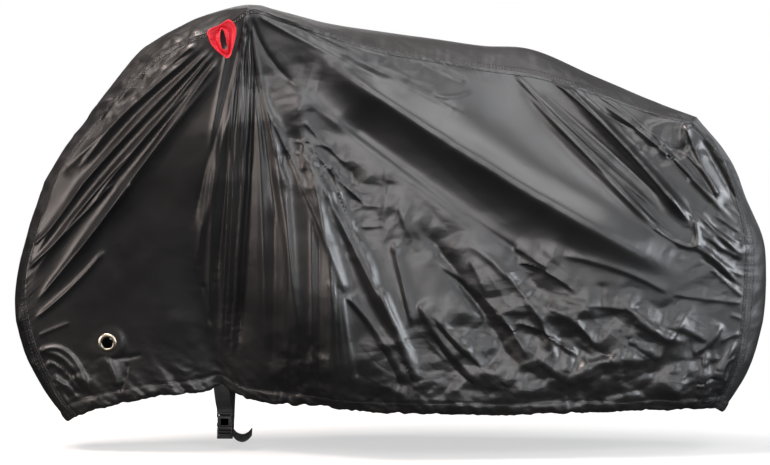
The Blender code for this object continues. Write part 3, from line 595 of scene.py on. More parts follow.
def shares_up():
    """Rows from the hem to the top seam, closer together in the hem."""
    low = np.linspace(0.0, HEM_SHARE, HEM_ROWS + 1)
    return np.concatenate([low[:-1], np.linspace(HEM_SHARE, 1.0, CELLS_UP - HEM_ROWS + 1)])


def hem_line():
    table = np.array(HEM)
    x = table[0, X] + (table[-1, X] - table[0, X]) * shares_along()
    return np.stack([x, *(smooth_curve(table[:, X], table[:, part], x) for part in (Z, OUT))], 1)


def fold_height(x, z, fold, fold_taper=FOLD_TAPER):
    """How far one fold lifts the cloth at each place."""
    t = np.linspace(0.0, 1.0, FOLD_SAMPLES)
    # the middle point lies on the curve, so the control point is pushed past it
    control_x = 2 * fold.x1 - (fold.x0 + fold.x2) / 2
    control_z = 2 * fold.z1 - (fold.z0 + fold.z2) / 2
    path_x = (1 - t) ** 2 * fold.x0 + 2 * t * (1 - t) * control_x + t**2 * fold.x2
    path_z = (1 - t) ** 2 * fold.z0 + 2 * t * (1 - t) * control_z + t**2 * fold.z2
    heading = unit(np.stack([np.gradient(path_x), np.gradient(path_z)], 1))
    reach = FOLD_REACH * max(fold.wide0, fold.wide1) * max(1.0, fold.under)
    near = (x > path_x.min() - reach) & (x < path_x.max() + reach)
    near &= (z > path_z.min() - reach) & (z < path_z.max() + reach)
    off_x = x[near][:, None] - path_x
    off_z = z[near][:, None] - path_z
    nearest = np.argmin(off_x**2 + off_z**2, axis=-1)
    pick = (np.arange(len(nearest)), nearest)
    head = heading[nearest]
    along = off_x[pick] * head[..., 0] + off_z[pick] * head[..., 1]
    across = off_z[pick] * head[..., 0] - off_x[pick] * head[..., 1]
    # upper side positive for a fold that runs to the rear
    across = np.where(head[..., 0] < 0, -across, across)
    length = np.sum(np.hypot(np.diff(path_x), np.diff(path_z)))
    place = t[nearest] + along / length
    past_end = np.maximum(np.maximum(-place, place - 1.0), 0.0) * length
    place = np.clip(place, 0.0, 1.0)
    width = fold.wide0 + (fold.wide1 - fold.wide0) * place
    side = np.where(across < 0, width * fold.under, width)
    taper = smooth_step(place / fold_taper) * smooth_step((1 - place) / fold_taper)
    spread = np.sqrt((across / side) ** 2 + (past_end / width) ** 2 + FOLD_CREST)
    height = np.zeros_like(x)
    height[near] = fold.height * taper * np.exp(FOLD_FALL * (math.sqrt(FOLD_CREST) - spread))
    return height


def crush_height(x, z, crush, seed):
    """How far one zone's creases lift the cloth, and how much of the zone each place is in."""
    reach = np.hypot((x - crush.x) / crush.reach_x, (z - crush.z) / crush.reach_z)
    ragged = reach + ZONE_RAGGED * noise(x / ZONE_RAGGED_PITCH, z / ZONE_RAGGED_PITCH, seed)
    share = 1 - smooth_step((ragged - ZONE_CORE) / ZONE_FADE)
    crushed = creases(x, z, crush.pitch, crush.angle, crush.stretch, seed)
    return crush.depth * share * crushed, share


def gathers(run, seed):
    """Uneven gathers along an edge, between about -1 and 1."""
    count = run / GATHER_PITCH
    drift = GATHER_DRIFT * noise(count / GATHER_DRIFT_OVER, 0.0, seed)
    fine = noise(count * GATHER_FINE - drift, 0.3, seed + 2)
    return noise(count + drift, 0.5, seed + 1) + GATHER_FINE_SHARE * fine


def hem_relief(distance):
    """The swell of the doubled hem and the groove of its stitching, at a distance from its edge."""
    past_band = (distance - HEM_BAND) / HEM_STITCH_WIDTH
    in_band = smooth_step(distance / HEM_EDGE) * (1 - smooth_step(past_band))
    return HEM_SWELL * in_band - HEM_STITCH_DEPTH * np.exp(-(past_band**2))


def outward(points):
    """The way out of a grid's front face at each point."""
    return unit(np.cross(np.gradient(points, axis=1), np.gradient(points, axis=0)))


def run_along(line):
    """How far each point of a line is from its start."""
    steps = np.linalg.norm(np.diff(line, axis=0), axis=1)
    return np.concatenate([[0.0], np.cumsum(steps)])


def seam_lines():
    """The sections along the front, top and rear seams, in the panels' own columns and rows."""
    front = read_sections(FRONT_SECTIONS, "seam_z", shares_up())
    top = read_sections(TOP_SECTIONS, "seam_x", shares_along())
    rear = read_sections(REAR_SECTIONS, "seam_z", 1 - shares_up())
    return front, top, rear


def whole_seam():
    front, top, rear = seam_lines()
    return np.concatenate([front, top[1:], rear[::-1][1:]])


def inward_of_strips(seam):
    """The way into the cover from the strips' middle line, in the XZ plane."""
    heading = unit(np.gradient(seam[:, [RIDGE_X, RIDGE_Z]], axis=0))
    return np.stack([heading[:, 1], np.zeros(len(seam)), -heading[:, 0]], 1)


def puckers(seam, far):
    """How the stitching draws the cloth in along the whole seam, as an offset for each point."""
    run = run_along(seam[:, [SEAM_X, HALF_WIDTH, SEAM_Z]])
    count, seed = run / PUCKER_PITCH, SEED_PUCKERS + far
    drawn = noise(count, 0.4, seed) + PUCKER_FINE_SHARE * noise(count * PUCKER_FINE, 0.7, seed + 2)
    drawn *= PUCKER_USUAL + PUCKER_VARIES * noise(run / PUCKER_PATCH, 0.2, seed + 6)
    way = unit(np.array([0.0, 1.0, 0.0]) - inward_of_strips(seam))
    return PUCKER_DEPTH * drawn[:, None] * way, run


def panel_base(front, top, rear, hem):
    """A panel's smooth sheet as (rows up, columns along, xyz), with the half width as y."""
    u = shares_along()[None, :, None]
    v = shares_up()[:, None, None]
    front, top, rear = (seam[:, [SEAM_X, SEAM_Z, HALF_WIDTH]] for seam in (front, top, rear))
    sides = (1 - u) * front[:, None] + u * rear[:, None]
    ends = (1 - v) * hem[None] + v * top[None]
    corners = (1 - v) * ((1 - u) * front[0] + u * rear[0])
    corners = corners + v * ((1 - u) * front[-1] + u * rear[-1])
    grid = (sides + ends - corners)[..., [X, OUT, Z]]

    along = np.array([0.0, *(row.along for row in FULLNESS), 1.0])
    heights = np.array([0.0, 0.25, 0.5, 0.75, 1.0])
    levels = [hem[:, OUT]]
    for height, field in zip(heights[1:4], ("low", "middle", "high")):
        inner = [getattr(row, field) for row in FULLNESS]
        first, last = (np.interp(height, v[:, 0, 0], line[:, OUT]) for line in (front, rear))
        levels.append(smooth_curve(along, [first, *inner, last], u[0, :, 0]))
    levels.append(top[:, OUT])
    columns = np.stack(levels, 1)
    out = np.stack([smooth_curve(heights, column, v[:, 0, 0]) for column in columns], 1)
    out[:, 0], out[:, -1] = front[:, OUT], rear[:, OUT]
    grid[..., 1] = out
    return grid


def panel_points(far):
    """The near panel's points, or the far one's before it is mirrored, and its seam fields."""
    front, top, rear = seam_lines()
    hem = hem_line()
    grid = panel_base(front, top, rear, hem)
    x, z = grid[..., 0].copy(), grid[..., 2].copy()
    grid[..., 1] *= -1

    to_front, to_top, to_rear = (
        np.linalg.norm(grid - edge, axis=-1) for edge in (grid[:, :1], grid[-1:], grid[:, -1:])
    )
    to_seam = np.minimum(np.minimum(to_front, to_top), to_rear)
    calm = smooth_step(to_seam / SEAM_CALM)

    lift = np.zeros_like(x)
    for fold in FOLDS:
        if fold.both or not far:
            lift += fold_height(x, z, fold) * (FAR_SHARE if far else 1.0)
    for fold in FINE_FOLDS:
        if fold.both or not far:
            lift += fold_height(x, z, fold, FINE_TAPER)
    grid[..., 1] -= lift * calm

    up = z - hem[None, :, Z]
    crushed = np.zeros_like(x)
    plain = np.zeros_like(x)
    for band in PLAINS:
        plain = np.maximum(plain, fold_height(x, z, band, FINE_TAPER))
    detail = creases(
        x, z, EVERYWHERE.pitch, EVERYWHERE.angle, EVERYWHERE.stretch, SEED_EVERYWHERE + far
    )
    detail *= EVERYWHERE.depth
    creased = 1 - smooth_step(PLAIN_GAIN * plain)
    for number, crush in enumerate(CRUSHES):
        if crush.both or not far:
            height, share = crush_height(x, z, crush, SEED_ZONES + 10 * number + far)
            detail += height * creased
            crushed = np.maximum(crushed, share * creased * min(1.0, crush.depth / FULLY_CRUSHED))

    run = run_along(hem[:, [X, OUT, Z]])
    above = np.maximum(up, 0.0)
    slant = run[None] + above * noise(run / SLANT_PITCH, 0.6, SEED_SLANT + far)[None]
    drawn = gathers(slant, SEED_GATHERS + far)
    tall = 0.5 + 0.5 * noise(run / TALL_PITCH, 0.4, SEED_TALL + far)[None]
    low_down = np.exp(-above / HEM_CRUSH_REACH)
    crushed = np.maximum(crushed, low_down)
    detail += HEM_CRUSH * low_down * creases(
        run[None] + 0 * x, up, HEM_CRUSH_PITCH, HEM_CRUSH_ANGLE, HEM_CRUSH_STRETCH,
        SEED_HEM_CRUSH + far,
    )
    detail += GATHER_DEPTH * drawn * np.exp(-above / (GATHER_REACH * (0.25 + tall)))
    billow = above / HEM_BILLOW_UP * np.exp(1 - above / HEM_BILLOW_UP)
    detail += HEM_BILLOW * billow * smooth_step((x - HEM_BILLOW_FROM) / HEM_BILLOW_FADE)
    detail += hem_relief(up)
    grid = grid + outward(grid) * (detail * calm)[..., None]
    ripple = np.roll(drawn, HEM_RIPPLE_LAG, axis=1) * np.exp(-above / HEM_RIPPLE_REACH)
    grid[..., 2] += HEM_RIPPLE * ripple * calm

    offsets, seam_run = puckers(whole_seam(), far)
    offsets = offsets * MIRROR
    crown_row, rear_row = CELLS_UP, CELLS_UP + CELLS_ALONG
    up_front, along_top = slice(crown_row + 1), slice(crown_row, rear_row + 1)
    down_rear = slice(None, rear_row - 1, -1)
    edges = (
        (offsets[up_front][:, None], to_front, seam_run[up_front][:, None]),
        (offsets[along_top][None], to_top, seam_run[along_top][None]),
        (offsets[down_rear][:, None], to_rear, seam_run[down_rear][:, None]),
    )
    run_field = np.zeros_like(x)
    best = np.full_like(x, np.inf)
    moved = np.zeros_like(grid)
    weight = np.zeros_like(x)
    for offset, distance, run_here in edges:
        share = np.exp(-distance / PUCKER_REACH)
        moved += offset * share[..., None] ** 2
        weight += share
        run_field = np.where(distance < best, run_here + 0 * x, run_field)
        best = np.minimum(best, distance)
    grid += moved / np.maximum(weight, 1e-6)[..., None]

    reach = np.hypot(x - EYELET_X, z - EYELET_Z)
    flat = EYELET_OUT + EYELET_SLOPE_X * (x - EYELET_X) + EYELET_SLOPE_Z * (z - EYELET_Z)
    share = 1 - smooth_step((reach - EYELET_FLAT) / EYELET_BLEND)
    target = np.stack([x, -flat, z], -1)
    grid = grid * (1 - share[..., None]) + target * share[..., None]
    return grid, {"to_seam": to_seam, "seam_run": run_field, "above_hem": up, "crushed": crushed}


def strip_points():
    """The strips as one sheet, as (rows across, columns along, xyz), and its seam fields."""
    seam = whole_seam()
    s = np.linspace(-1.0, 1.0, CELLS_ACROSS + 1)[:, None]
    arch = 1 - np.abs(s) ** STRIP_ARCH
    seam_x, seam_z, half_width = seam[:, [SEAM_X, SEAM_Z, HALF_WIDTH]].T
    x = seam_x + (seam[:, RIDGE_X] - seam_x) * arch
    z = seam_z + (seam[:, RIDGE_Z] - seam_z) * arch
    y = half_width * s
    grid = np.stack([x, y, z], -1)
    run = run_along(seam[:, [RIDGE_X, RIDGE_Z]])
    to_seam = (1 - np.abs(s)) * np.maximum(half_width, SEAM_LEAST)
    calm = smooth_step(to_seam / SEAM_CALM)

    depth = smooth_curve(*zip(*STRIP_CRUSHES), seam_x)
    at = run + 0 * y
    detail = creases(at, y, STRIP_PITCH, STRIP_ANGLE, STRIP_STRETCH, SEED_STRIPS)
    detail += LONG_SHARE * creases(at, y, LONG_PITCH, LONG_ANGLE, LONG_STRETCH, SEED_LONG)
    detail *= depth * (STRIP_CALM + (1 - STRIP_CALM) * smooth_step(abs(s) / STRIP_CALM_TO))

    hem_run = y[:, :1] + 0 * y
    for to_hem, seed in ((run, SEED_FRONT_HEM), (run[-1] - run, SEED_REAR_HEM)):
        detail += GATHER_DEPTH * gathers(hem_run, seed) * np.exp(-to_hem / GATHER_REACH)
        detail += hem_relief(to_hem)
    grid = grid + outward(grid) * (detail * calm)[..., None]

    near, seam_run = puckers(seam, False)
    far, _ = puckers(seam, True)
    share = np.exp(-to_seam / PUCKER_REACH)[..., None]
    grid += np.where(s[..., None] < 0, near * MIRROR, far) * share
    return grid, {
        "to_seam": to_seam,
        "seam_run": seam_run + 0 * y,
        "above_hem": np.minimum(run, run[-1] - run) + 0 * y,
        "crushed": np.clip(depth / FULLY_CRUSHED, 0.0, 1.0) + 0 * y,
    }


def turn_in(grid, fields):
    """Turns a hem in at a grid's first row, as a second layer behind its lowest rows."""
    inner = grid - outward(grid) * TURNED_GAP
    rows = np.linspace(HEM_ROWS, 1, TURNED_ROWS - 1).astype(int)
    fold = (grid[:1] + inner[:1]) / 2 + FOLD_OUT * (grid[:1] - grid[1:2])
    wider = np.concatenate([inner[rows], fold, grid])
    take = np.concatenate([rows, [0], np.arange(len(grid))])
    return wider, {field: values[take] for field, values in fields.items()}


def finished_mesh(bm, name):
    """A mesh with smooth faces from a bmesh, which is freed."""
    mesh = bpy.data.meshes.new(name)
    bm.to_mesh(mesh)
    bm.free()
    mesh.shade_smooth()
    return mesh


def cloth_object(name, points, fields, flip=False):
    """A sheet with its corners at points, which are (rows, columns, xyz), and its fields."""
    rows, columns = points.shape[0] - 1, points.shape[1] - 1
    bm = bmesh.new()
    bmesh.ops.create_grid(bm, x_segments=columns, y_segments=rows, size=0.5)
    if flip:
        bmesh.ops.reverse_faces(bm, faces=bm.faces)
    mesh = finished_mesh(bm, name)
    corners = np.empty(len(mesh.vertices) * 3)
    mesh.vertices.foreach_get("co", corners)
    column, row, _ = corners.reshape(-1, 3).T + 0.5
    column = np.rint(column * columns).astype(int)
    row = np.rint(row * rows).astype(int)
    mesh.vertices.foreach_set("co", points[row, column].ravel())
    for field, values in fields.items():
        attribute = mesh.attributes.new(field, "FLOAT", "POINT")
        attribute.data.foreach_set("value", values[row, column].astype(np.float32))
    mesh.update()
    return place_piece(name, mesh)


def place_piece(name, mesh):
    """A new object of the cover, which moves with its only body."""
    obj = bpy.data.objects.new(name, mesh)
    bpy.context.scene.collection.objects.link(obj)
    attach(obj, BODY)
    return obj


def thicken(obj, thickness):
    wall = obj.modifiers.new("Cloth thickness", "SOLIDIFY")
    wall.thickness = thickness
    wall.offset = 0.0
    wall.use_rim = True


def open_eyelet_hole(obj, side):
    """Cuts the hole for an eyelet and rounds its edge, under the eyelet's flange."""
    bm = bmesh.new()
    bm.from_mesh(obj.data)

    def reach(point):
        return math.hypot(point.x - EYELET_X, point.z - EYELET_Z)

    def inside(point):
        return reach(point) < EYELET_CUT and point.y * side > 0

    cut = [face for face in bm.faces if inside(face.calc_center_median())]
    bmesh.ops.delete(bm, geom=cut, context="FACES")
    for vert in bm.verts:
        if vert.is_boundary and reach(vert.co) < 2 * EYELET_HOLE:
            scale = EYELET_HOLE / reach(vert.co)
            x = EYELET_X + (vert.co.x - EYELET_X) * scale
            z = EYELET_Z + (vert.co.z - EYELET_Z) * scale
            vert.co.y += side * EYELET_SLOPE_X * (x - vert.co.x)
            vert.co.x, vert.co.z = x, z
    bm.to_mesh(obj.data)
    bm.free()


# ---- Materials ----


Grain = namedtuple("Grain", "scale detail roughness", defaults=(0.5,))

TONE = Grain(3.5, 3.0)
WORN_SPOTS = Grain(26.0, 4.0, 0.6)
SHEEN = Grain(9.0, 3.0)
WRINKLES = Grain(30.0, 3.0, 0.55)
FINE_WRINKLES = Grain(70.0, 2.0)
BRASS_WEAR = Grain(140.0, 3.0)
BRASS_GRAIN = Grain(400.0, 2.0)
TAPE_WEAR = Grain(60.0, 4.0)
PLASTIC_GRAIN = Grain(900.0, 2.0)
PLASTIC_PATCHES = Grain(50.0, 3.0)
FLOOR_TONE = Grain(1.5, 2.0)

BRASS_BRIGHT, BRASS_DULL = (0.78, 0.74, 0.62), (0.50, 0.42, 0.28)
BRASS_ROUGHNESS, BRASS_SPREAD, BRASS_RAISED = 0.22, 0.2, 0.00006
PLASTIC_DARK, PLASTIC_LIGHT = (0.010, 0.010, 0.011), (0.020, 0.020, 0.022)
PLASTIC_ROUGHNESS, PLASTIC_SPREAD, PLASTIC_RAISED = 0.34, 0.14, 0.00004
RED_DARK, RED_LIGHT = (0.42, 0.003, 0.012), (0.76, 0.014, 0.034)
TAPE_DARK, TAPE_LIGHT = (0.010, 0.010, 0.011), (0.028, 0.028, 0.030)
RED_ROUGHNESS, TAPE_ROUGHNESS = 0.45, 0.6


class Value:
    """An output of a shader node, with which sums are written as Python expressions."""

    def __init__(self, finish, socket):
        self.finish = finish
        self.socket = socket

    def maths(self, operation, *values, first=None):
        inputs = dict(enumerate((self, *values) if first is None else (first, self)))
        return self.finish.node("Math", {"operation": operation}, inputs)

    def __add__(self, other):
        return self.maths("ADD", other)

    __radd__ = __add__

    def __mul__(self, other):
        return self.maths("MULTIPLY", other)

    __rmul__ = __mul__

    def __sub__(self, other):
        return self.maths("SUBTRACT", other)

    def __rsub__(self, other):
        return self.maths("SUBTRACT", first=other)

    def __truediv__(self, other):
        return self.maths("DIVIDE", other)

    def __abs__(self):
        return self.maths("ABSOLUTE")

    def wave(self, length):
        """Swings between -1 and 1, once in each length."""
        return (self * (2 * math.pi / length)).maths("SINE")

    def power(self, other):
        return self.maths("POWER", other)

    def pingpong(self, top):
        """Runs up from 0 to top and back again."""
        return self.maths("PINGPONG", top)

    def fraction(self):
        return self.maths("FRACT")

    def fade(self, low, high):
        """0 at low and 1 at high, with a soft start and end."""
        settings = {"interpolation_type": "SMOOTHSTEP"}
        inputs = {"Value": self, "From Min": low, "From Max": high}
        return self.finish.node("MapRange", settings, inputs)


class Finish:
    """A material in the making: a Principled shader with constants set on its own sockets."""

    def __init__(self, name, constants):
        self.material = bpy.data.materials.new(name)
        self.material.use_nodes = True
        self.tree = self.material.node_tree
        self.shader = self.tree.nodes["Principled BSDF"]
        for socket, value in constants.items():
            self.shader.inputs[socket].default_value = value

    def node(self, kind, settings=None, inputs=None, output=0):
        made = self.tree.nodes.new("ShaderNode" + kind)
        for setting, value in (settings or {}).items():
            setattr(made, setting, value)
        for socket, value in (inputs or {}).items():
            self.plug(made.inputs[socket], value)
        return Value(self, made.outputs[output])

    def plug(self, socket, value):
        if isinstance(value, Value):
            self.tree.links.new(value.socket, socket)
        else:
            socket.default_value = value

    def place(self):
        return self.node("TexCoord", output="Object")

    def field(self, name):
        return self.node("Attribute", {"attribute_name": name}, output="Fac")

    def noise(self, grain, vector=None):
        inputs = {name.capitalize(): value for name, value in grain._asdict().items()}
        return self.node("TexNoise", None, {**inputs, "Vector": vector or self.place()})

    def blend(self, share, first, second):
        settings = {"data_type": "RGBA"}
        inputs = {0: share, 6: (*first, 1.0) if isinstance(first, tuple) else first}
        inputs[7] = (*second, 1.0) if isinstance(second, tuple) else second
        return self.node("Mix", settings, inputs, output=2)

    def split(self, vector):
        made = self.node("SeparateXYZ", None, {0: vector})
        node = made.socket.node
        return [Value(self, node.outputs[axis]) for axis in range(3)]

    def colour(self, value):
        self.plug(self.shader.inputs["Base Color"], value)

    def roughness(self, value):
        self.plug(self.shader.inputs["Roughness"], value)

    def bump(self, height):
        """Relief whose height is in metres."""
        inputs = {"Height": height, "Distance": 1.0, "Strength": 1.0}
        self.plug(self.shader.inputs["Normal"], self.node("Bump", None, inputs))


STITCH = 0.0075  # from one stitch to the next, drawn longer than real so that it reads
STITCH_ROWS = (0.0035, 0.0075)  # from the seam
STITCH_HALF = 0.0011
HEM_LINE_HALF = 0.0009
STITCH_SINK = 0.0012
SEAM_EDGE = 0.0105  # from the seam to the edge of the cloth folded under it
SEAM_FLAT = 0.0090
SEAM_RAISED = 0.0016
THREAD_RAISED = 0.000012
WRINKLE_RAISED, WRINKLE_PLAIN = 0.0010, 0.0003
FINE_RAISED, FINE_PLAIN = 0.0005, 0.0001
WORN_SHARE = 0.35
THREAD_SHARE = 0.7
SHEEN_SPREAD = 0.16
CRUSHED_DULL = 0.03
WRINKLE_TURN = math.radians(-42)
WRINKLE_STRETCH = 0.45
PLAIN_SHARE = 0.04  # share of the finest creases on plain cloth
STRIP_DULL = 0.18  # by which the top strip is duller than the rest

Ridge = namedtuple("Ridge", "angle pitch slope wander patch")

# Sets of sharp creases in crushed cloth, across an angle in degrees from X towards Z
RIDGES = (
    Ridge(50, 0.075, 0.08, 0.9, 6.0),
    Ridge(-15, 0.052, 0.07, 0.9, 8.0),
    Ridge(85, 0.040, 0.07, 0.9, 9.0),
)
RIDGE_DRIFT = 0.30  # of the noise that bends a set, as a share of one over its pitch
RIDGE_PATCH = (0.42, 0.60)  # noise between which a patch of a set begins and is whole


def nylon_finish(settings, name, dull=0.0):
    """Black coated nylon with a fine weave, small wrinkles, raised seams and stitching."""
    finish = Finish(
        name, {"Specular IOR Level": 1.0, "IOR": 1.5, "Coat Roughness": 0.26, "Coat Weight": 0.10}
    )
    crushed, to_seam = finish.field("crushed"), finish.field("to_seam")
    along, above = finish.field("seam_run"), finish.field("above_hem")

    seam_ridge = to_seam.fade(SEAM_EDGE, SEAM_FLAT)
    place = (along / STITCH).fraction()
    dash = place.fade(0.30, 0.42) * (1 - place.fade(0.88, 1.0))
    inner, outer = (1 - (abs(to_seam - row) / STITCH_HALF).fade(0.5, 1.0) for row in STITCH_ROWS)
    stitch = (inner + outer) * dash
    hem_line_here = 1 - (abs(above - HEM_BAND) / HEM_LINE_HALF).fade(0.5, 1.0)

    tone = finish.noise(TONE)
    worn = finish.noise(WORN_SPOTS)
    base = finish.blend(tone.fade(0.35, 0.7), settings.dark[:], settings.light[:])
    base = finish.blend(worn.fade(0.55, 0.8) * WORN_SHARE, base, settings.worn[:])
    sewn = (stitch + hem_line_here).fade(0.1, 0.8) * THREAD_SHARE
    base = finish.blend(sewn, base, settings.thread[:])
    finish.colour(base)
    sheen = finish.noise(SHEEN) - 0.5
    finish.roughness(settings.gloss + dull + sheen * SHEEN_SPREAD + crushed * CRUSHED_DULL)

    turned = {"Rotation": (0.0, WRINKLE_TURN, 0.0), "Scale": (WRINKLE_STRETCH, 1.0, 1.0)}
    slanted = finish.node("Mapping", None, {"Vector": finish.place(), **turned})
    broad = finish.noise(WRINKLES, slanted)
    small = abs(finish.noise(FINE_WRINKLES, slanted) - 0.5)
    x, _, z = finish.split(finish.place())
    threads = x.wave(settings.weave) * z.wave(settings.weave)
    relief = (broad - 0.5) * (crushed * WRINKLE_RAISED + WRINKLE_PLAIN)
    relief = relief - small * (crushed * FINE_RAISED + FINE_PLAIN)
    for ridge in RIDGES:
        turn = math.radians(ridge.angle)
        run = x * math.cos(turn) + z * math.sin(turn)
        drift = finish.noise(Grain(RIDGE_DRIFT / ridge.pitch, 1.0)) - 0.5
        folded = (run / ridge.pitch + drift * ridge.wander).pingpong(0.5)
        here = finish.noise(Grain(ridge.patch, 0.0)).fade(*RIDGE_PATCH)
        steep = (crushed * (1 - PLAIN_SHARE) + PLAIN_SHARE) * (ridge.slope * ridge.pitch)
        relief = relief + folded * here * steep
    relief = relief + threads * THREAD_RAISED + seam_ridge * SEAM_RAISED
    relief = relief - (stitch + hem_line_here) * STITCH_SINK
    finish.bump(relief)
    return finish.material


def brass_finish():
    finish = Finish("plated_brass", {"Metallic": 1.0})
    worn = finish.noise(BRASS_WEAR)
    finish.colour(finish.blend(worn.fade(0.4, 0.75), BRASS_BRIGHT, BRASS_DULL))
    finish.roughness(BRASS_ROUGHNESS + worn * BRASS_SPREAD)
    finish.bump(finish.noise(BRASS_GRAIN) * BRASS_RAISED)
    return finish.material


WEFT_PITCH = 0.0022
WARP_PITCH = 0.0026
WEAVE_SHADE, WEAR_SHADE = 0.6, 0.8
WEAVE_RAISED, WEAR_RAISED = 0.00022, 0.0006
TAPE_SPREAD = 0.2


def webbing_finish(name, dark, light, roughness):
    """Woven webbing, whose fields run in metres along and across the tape."""
    finish = Finish(name, {"Specular IOR Level": 0.4})
    along, across = finish.field("tape_along"), finish.field("tape_across")
    rib = along.wave(WEFT_PITCH) * across.wave(WARP_PITCH)
    wear = finish.noise(TAPE_WEAR)
    shade = (rib * 0.5 + 0.5) * WEAVE_SHADE + (wear - 0.5) * WEAR_SHADE
    finish.colour(finish.blend(shade, dark, light))
    finish.roughness(roughness + (wear - 0.5) * TAPE_SPREAD)
    finish.bump(rib * WEAVE_RAISED + (wear - 0.5) * WEAR_RAISED)
    return finish.material


def plastic_finish():
    finish = Finish("moulded_plastic", {"Specular IOR Level": 0.5})
    grain = finish.noise(PLASTIC_GRAIN)
    patches = finish.noise(PLASTIC_PATCHES)
    finish.colour(finish.blend(patches, PLASTIC_DARK, PLASTIC_LIGHT))
    finish.roughness(PLASTIC_ROUGHNESS + patches * PLASTIC_SPREAD)
    finish.bump(grain * PLASTIC_RAISED)
    return finish.material


WHITE = (1.0, 1.0, 1.0, 1.0)
FLOOR_SCALE = 0.75
FLOOR_WHITE = 0.55  # share of plain white beside the cover
FLOOR_FADE = (0.5, 1.9)


def floor_finish(settings):
    """A pale floor that turns to plain white away from the cover."""
    finish = Finish("studio_floor", {"Specular IOR Level": 0.2, "Roughness": 0.8})
    tone = finish.noise(FLOOR_TONE)
    pale = tuple(settings.floor_colour)
    finish.colour(finish.blend(tone * 0.4, pale, tuple(0.97 * part for part in pale)))
    x, y, _ = finish.split(finish.place())
    away = ((x - settings.middle[0]) * FLOOR_SCALE).power(2) + y.power(2)
    share = away.fade(*FLOOR_FADE) * (1 - FLOOR_WHITE) + FLOOR_WHITE
    painted = Value(finish, finish.shader.outputs[0])
    white = finish.node("Emission", None, {"Color": WHITE, "Strength": 1.0})
    mixed = finish.node("MixShader", None, {0: share, 1: painted, 2: white})
    output = finish.tree.nodes["Material Output"]
    finish.tree.links.new(mixed.socket, output.inputs["Surface"])
    return finish.material


# ---- Eyelets ----

EYELET_CORE = 0.0158  # radius between the flanges
EYELET_FLANGE = 0.0235
EYELET_GRIP = 0.0015  # half the distance between the flanges
EYELET_STEPS = 48
SOLID_CLOTH = 0.0022  # thickness of the cloth that the solid eyelets are set in

Turned = namedtuple("Turned", "radius height")

# Half of an eyelet's profile, from the front of the barrel over the domed flange to its edge, with
# the height above the flange's seat
FRONT_PROFILE = (
    Turned(0.0140, 0.0000),
    Turned(0.0141, 0.0011),
    Turned(0.0149, 0.0021),
    Turned(0.0165, 0.0025),
    Turned(0.0190, 0.0022),
    Turned(0.0215, 0.0014),
    Turned(0.0231, 0.0006),
    Turned(0.0235, 0.0001),
)
BACK_PROFILE = (
    Turned(0.0235, 0.0001),
    Turned(0.0226, 0.0008),
    Turned(0.0180, 0.0010),
    Turned(0.0146, 0.0010),
    Turned(0.0140, 0.0002),
)


def eyelet_place(side):
    """The eyelet's own frame, with Z out of the cover, on one side."""
    out = Vector((-EYELET_SLOPE_X, side, -EYELET_SLOPE_Z)).normalized()
    turn = out.to_track_quat("Z", "Y").to_matrix().to_4x4()
    middle = SOLID_CLOTH * abs(out.y) / 2
    centre = Vector((EYELET_X, side * EYELET_OUT, EYELET_Z)) - out * middle
    return Matrix.Translation(centre) @ turn


def make_eyelet(name, side, node):
    ring = [(row.radius, EYELET_GRIP + row.height) for row in FRONT_PROFILE]
    ring += [(EYELET_FLANGE, EYELET_GRIP), (EYELET_CORE, EYELET_GRIP)]
    ring += [(EYELET_CORE, -EYELET_GRIP), (EYELET_FLANGE, -EYELET_GRIP)]
    ring += [(row.radius, -EYELET_GRIP - row.height) for row in BACK_PROFILE]
    bm = bmesh.new()
    verts = [bm.verts.new((radius, 0.0, height)) for radius, height in ring]
    edges = [bm.edges.new((vert, verts[number - 1])) for number, vert in enumerate(verts)]
    bmesh.ops.spin(
        bm, geom=verts + edges, cent=(0, 0, 0), axis=(0, 0, 1), angle=2 * math.pi,
        steps=EYELET_STEPS, use_merge=True,
    )
    bmesh.ops.recalc_face_normals(bm, faces=bm.faces)
    bm.transform(eyelet_place(side))
    obj = place_piece(name, finished_mesh(bm, name))
    smooth = obj.modifiers.new("Rounded", "SUBSURF")
    smooth.levels = smooth.render_levels = 1
    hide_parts(node)
    return obj


# ---- Hanging loop ----

LOOP_OUT = 0.275
LOOP_LEAN = math.radians(-6)
LOOP_TURNS = 96
LOOP_CELLS = 14
LOOP_POINTS = 400
LOOP_THICK = 0.0012
LOOP_SHIFT = 0.005
LOOP_SHARE = 0.93
LOOP_TAPE = 0.012  # width of a strand in the weave's measure
LOOP_RADIUS = 0.030
TROUGH_DEPTH = 0.0034
RIB_HEIGHT = 0.0012
RIB_TURN = 0.6
WAVER_HEIGHT = 0.0012
WAVER_ALONG, WAVER_ACROSS = 2.2, 2.5
LOOP_MERGE = 0.00001
TROUGH_SINK = 0.0008
# The first strand leaves the seam under the second, by a step between two turns about the middle
STRAND_STEP = 0.0012
STRAND_FROM = -1.9
STRAND_TO = -1.2
STRAND_FADE = 0.5

Point = namedtuple("Point", "x z")

LOOP_CENTRE = Point(-0.058, -0.080)
LOOP_OUTER = (
    Point(-0.098, -0.058),
    Point(-0.068, -0.043),
    Point(-0.045, -0.030),
    Point(-0.030, -0.043),
    Point(-0.026, -0.062),
    Point(-0.031, -0.090),
    Point(-0.044, -0.127),
    Point(-0.062, -0.120),
    Point(-0.086, -0.098),
    Point(-0.096, -0.077),
)
LOOP_GAP = (
    Point(-0.066, -0.058),
    Point(-0.060, -0.054),
    Point(-0.053, -0.074),
    Point(-0.048, -0.102),
    Point(-0.055, -0.106),
    Point(-0.063, -0.102),
    Point(-0.067, -0.080),
)


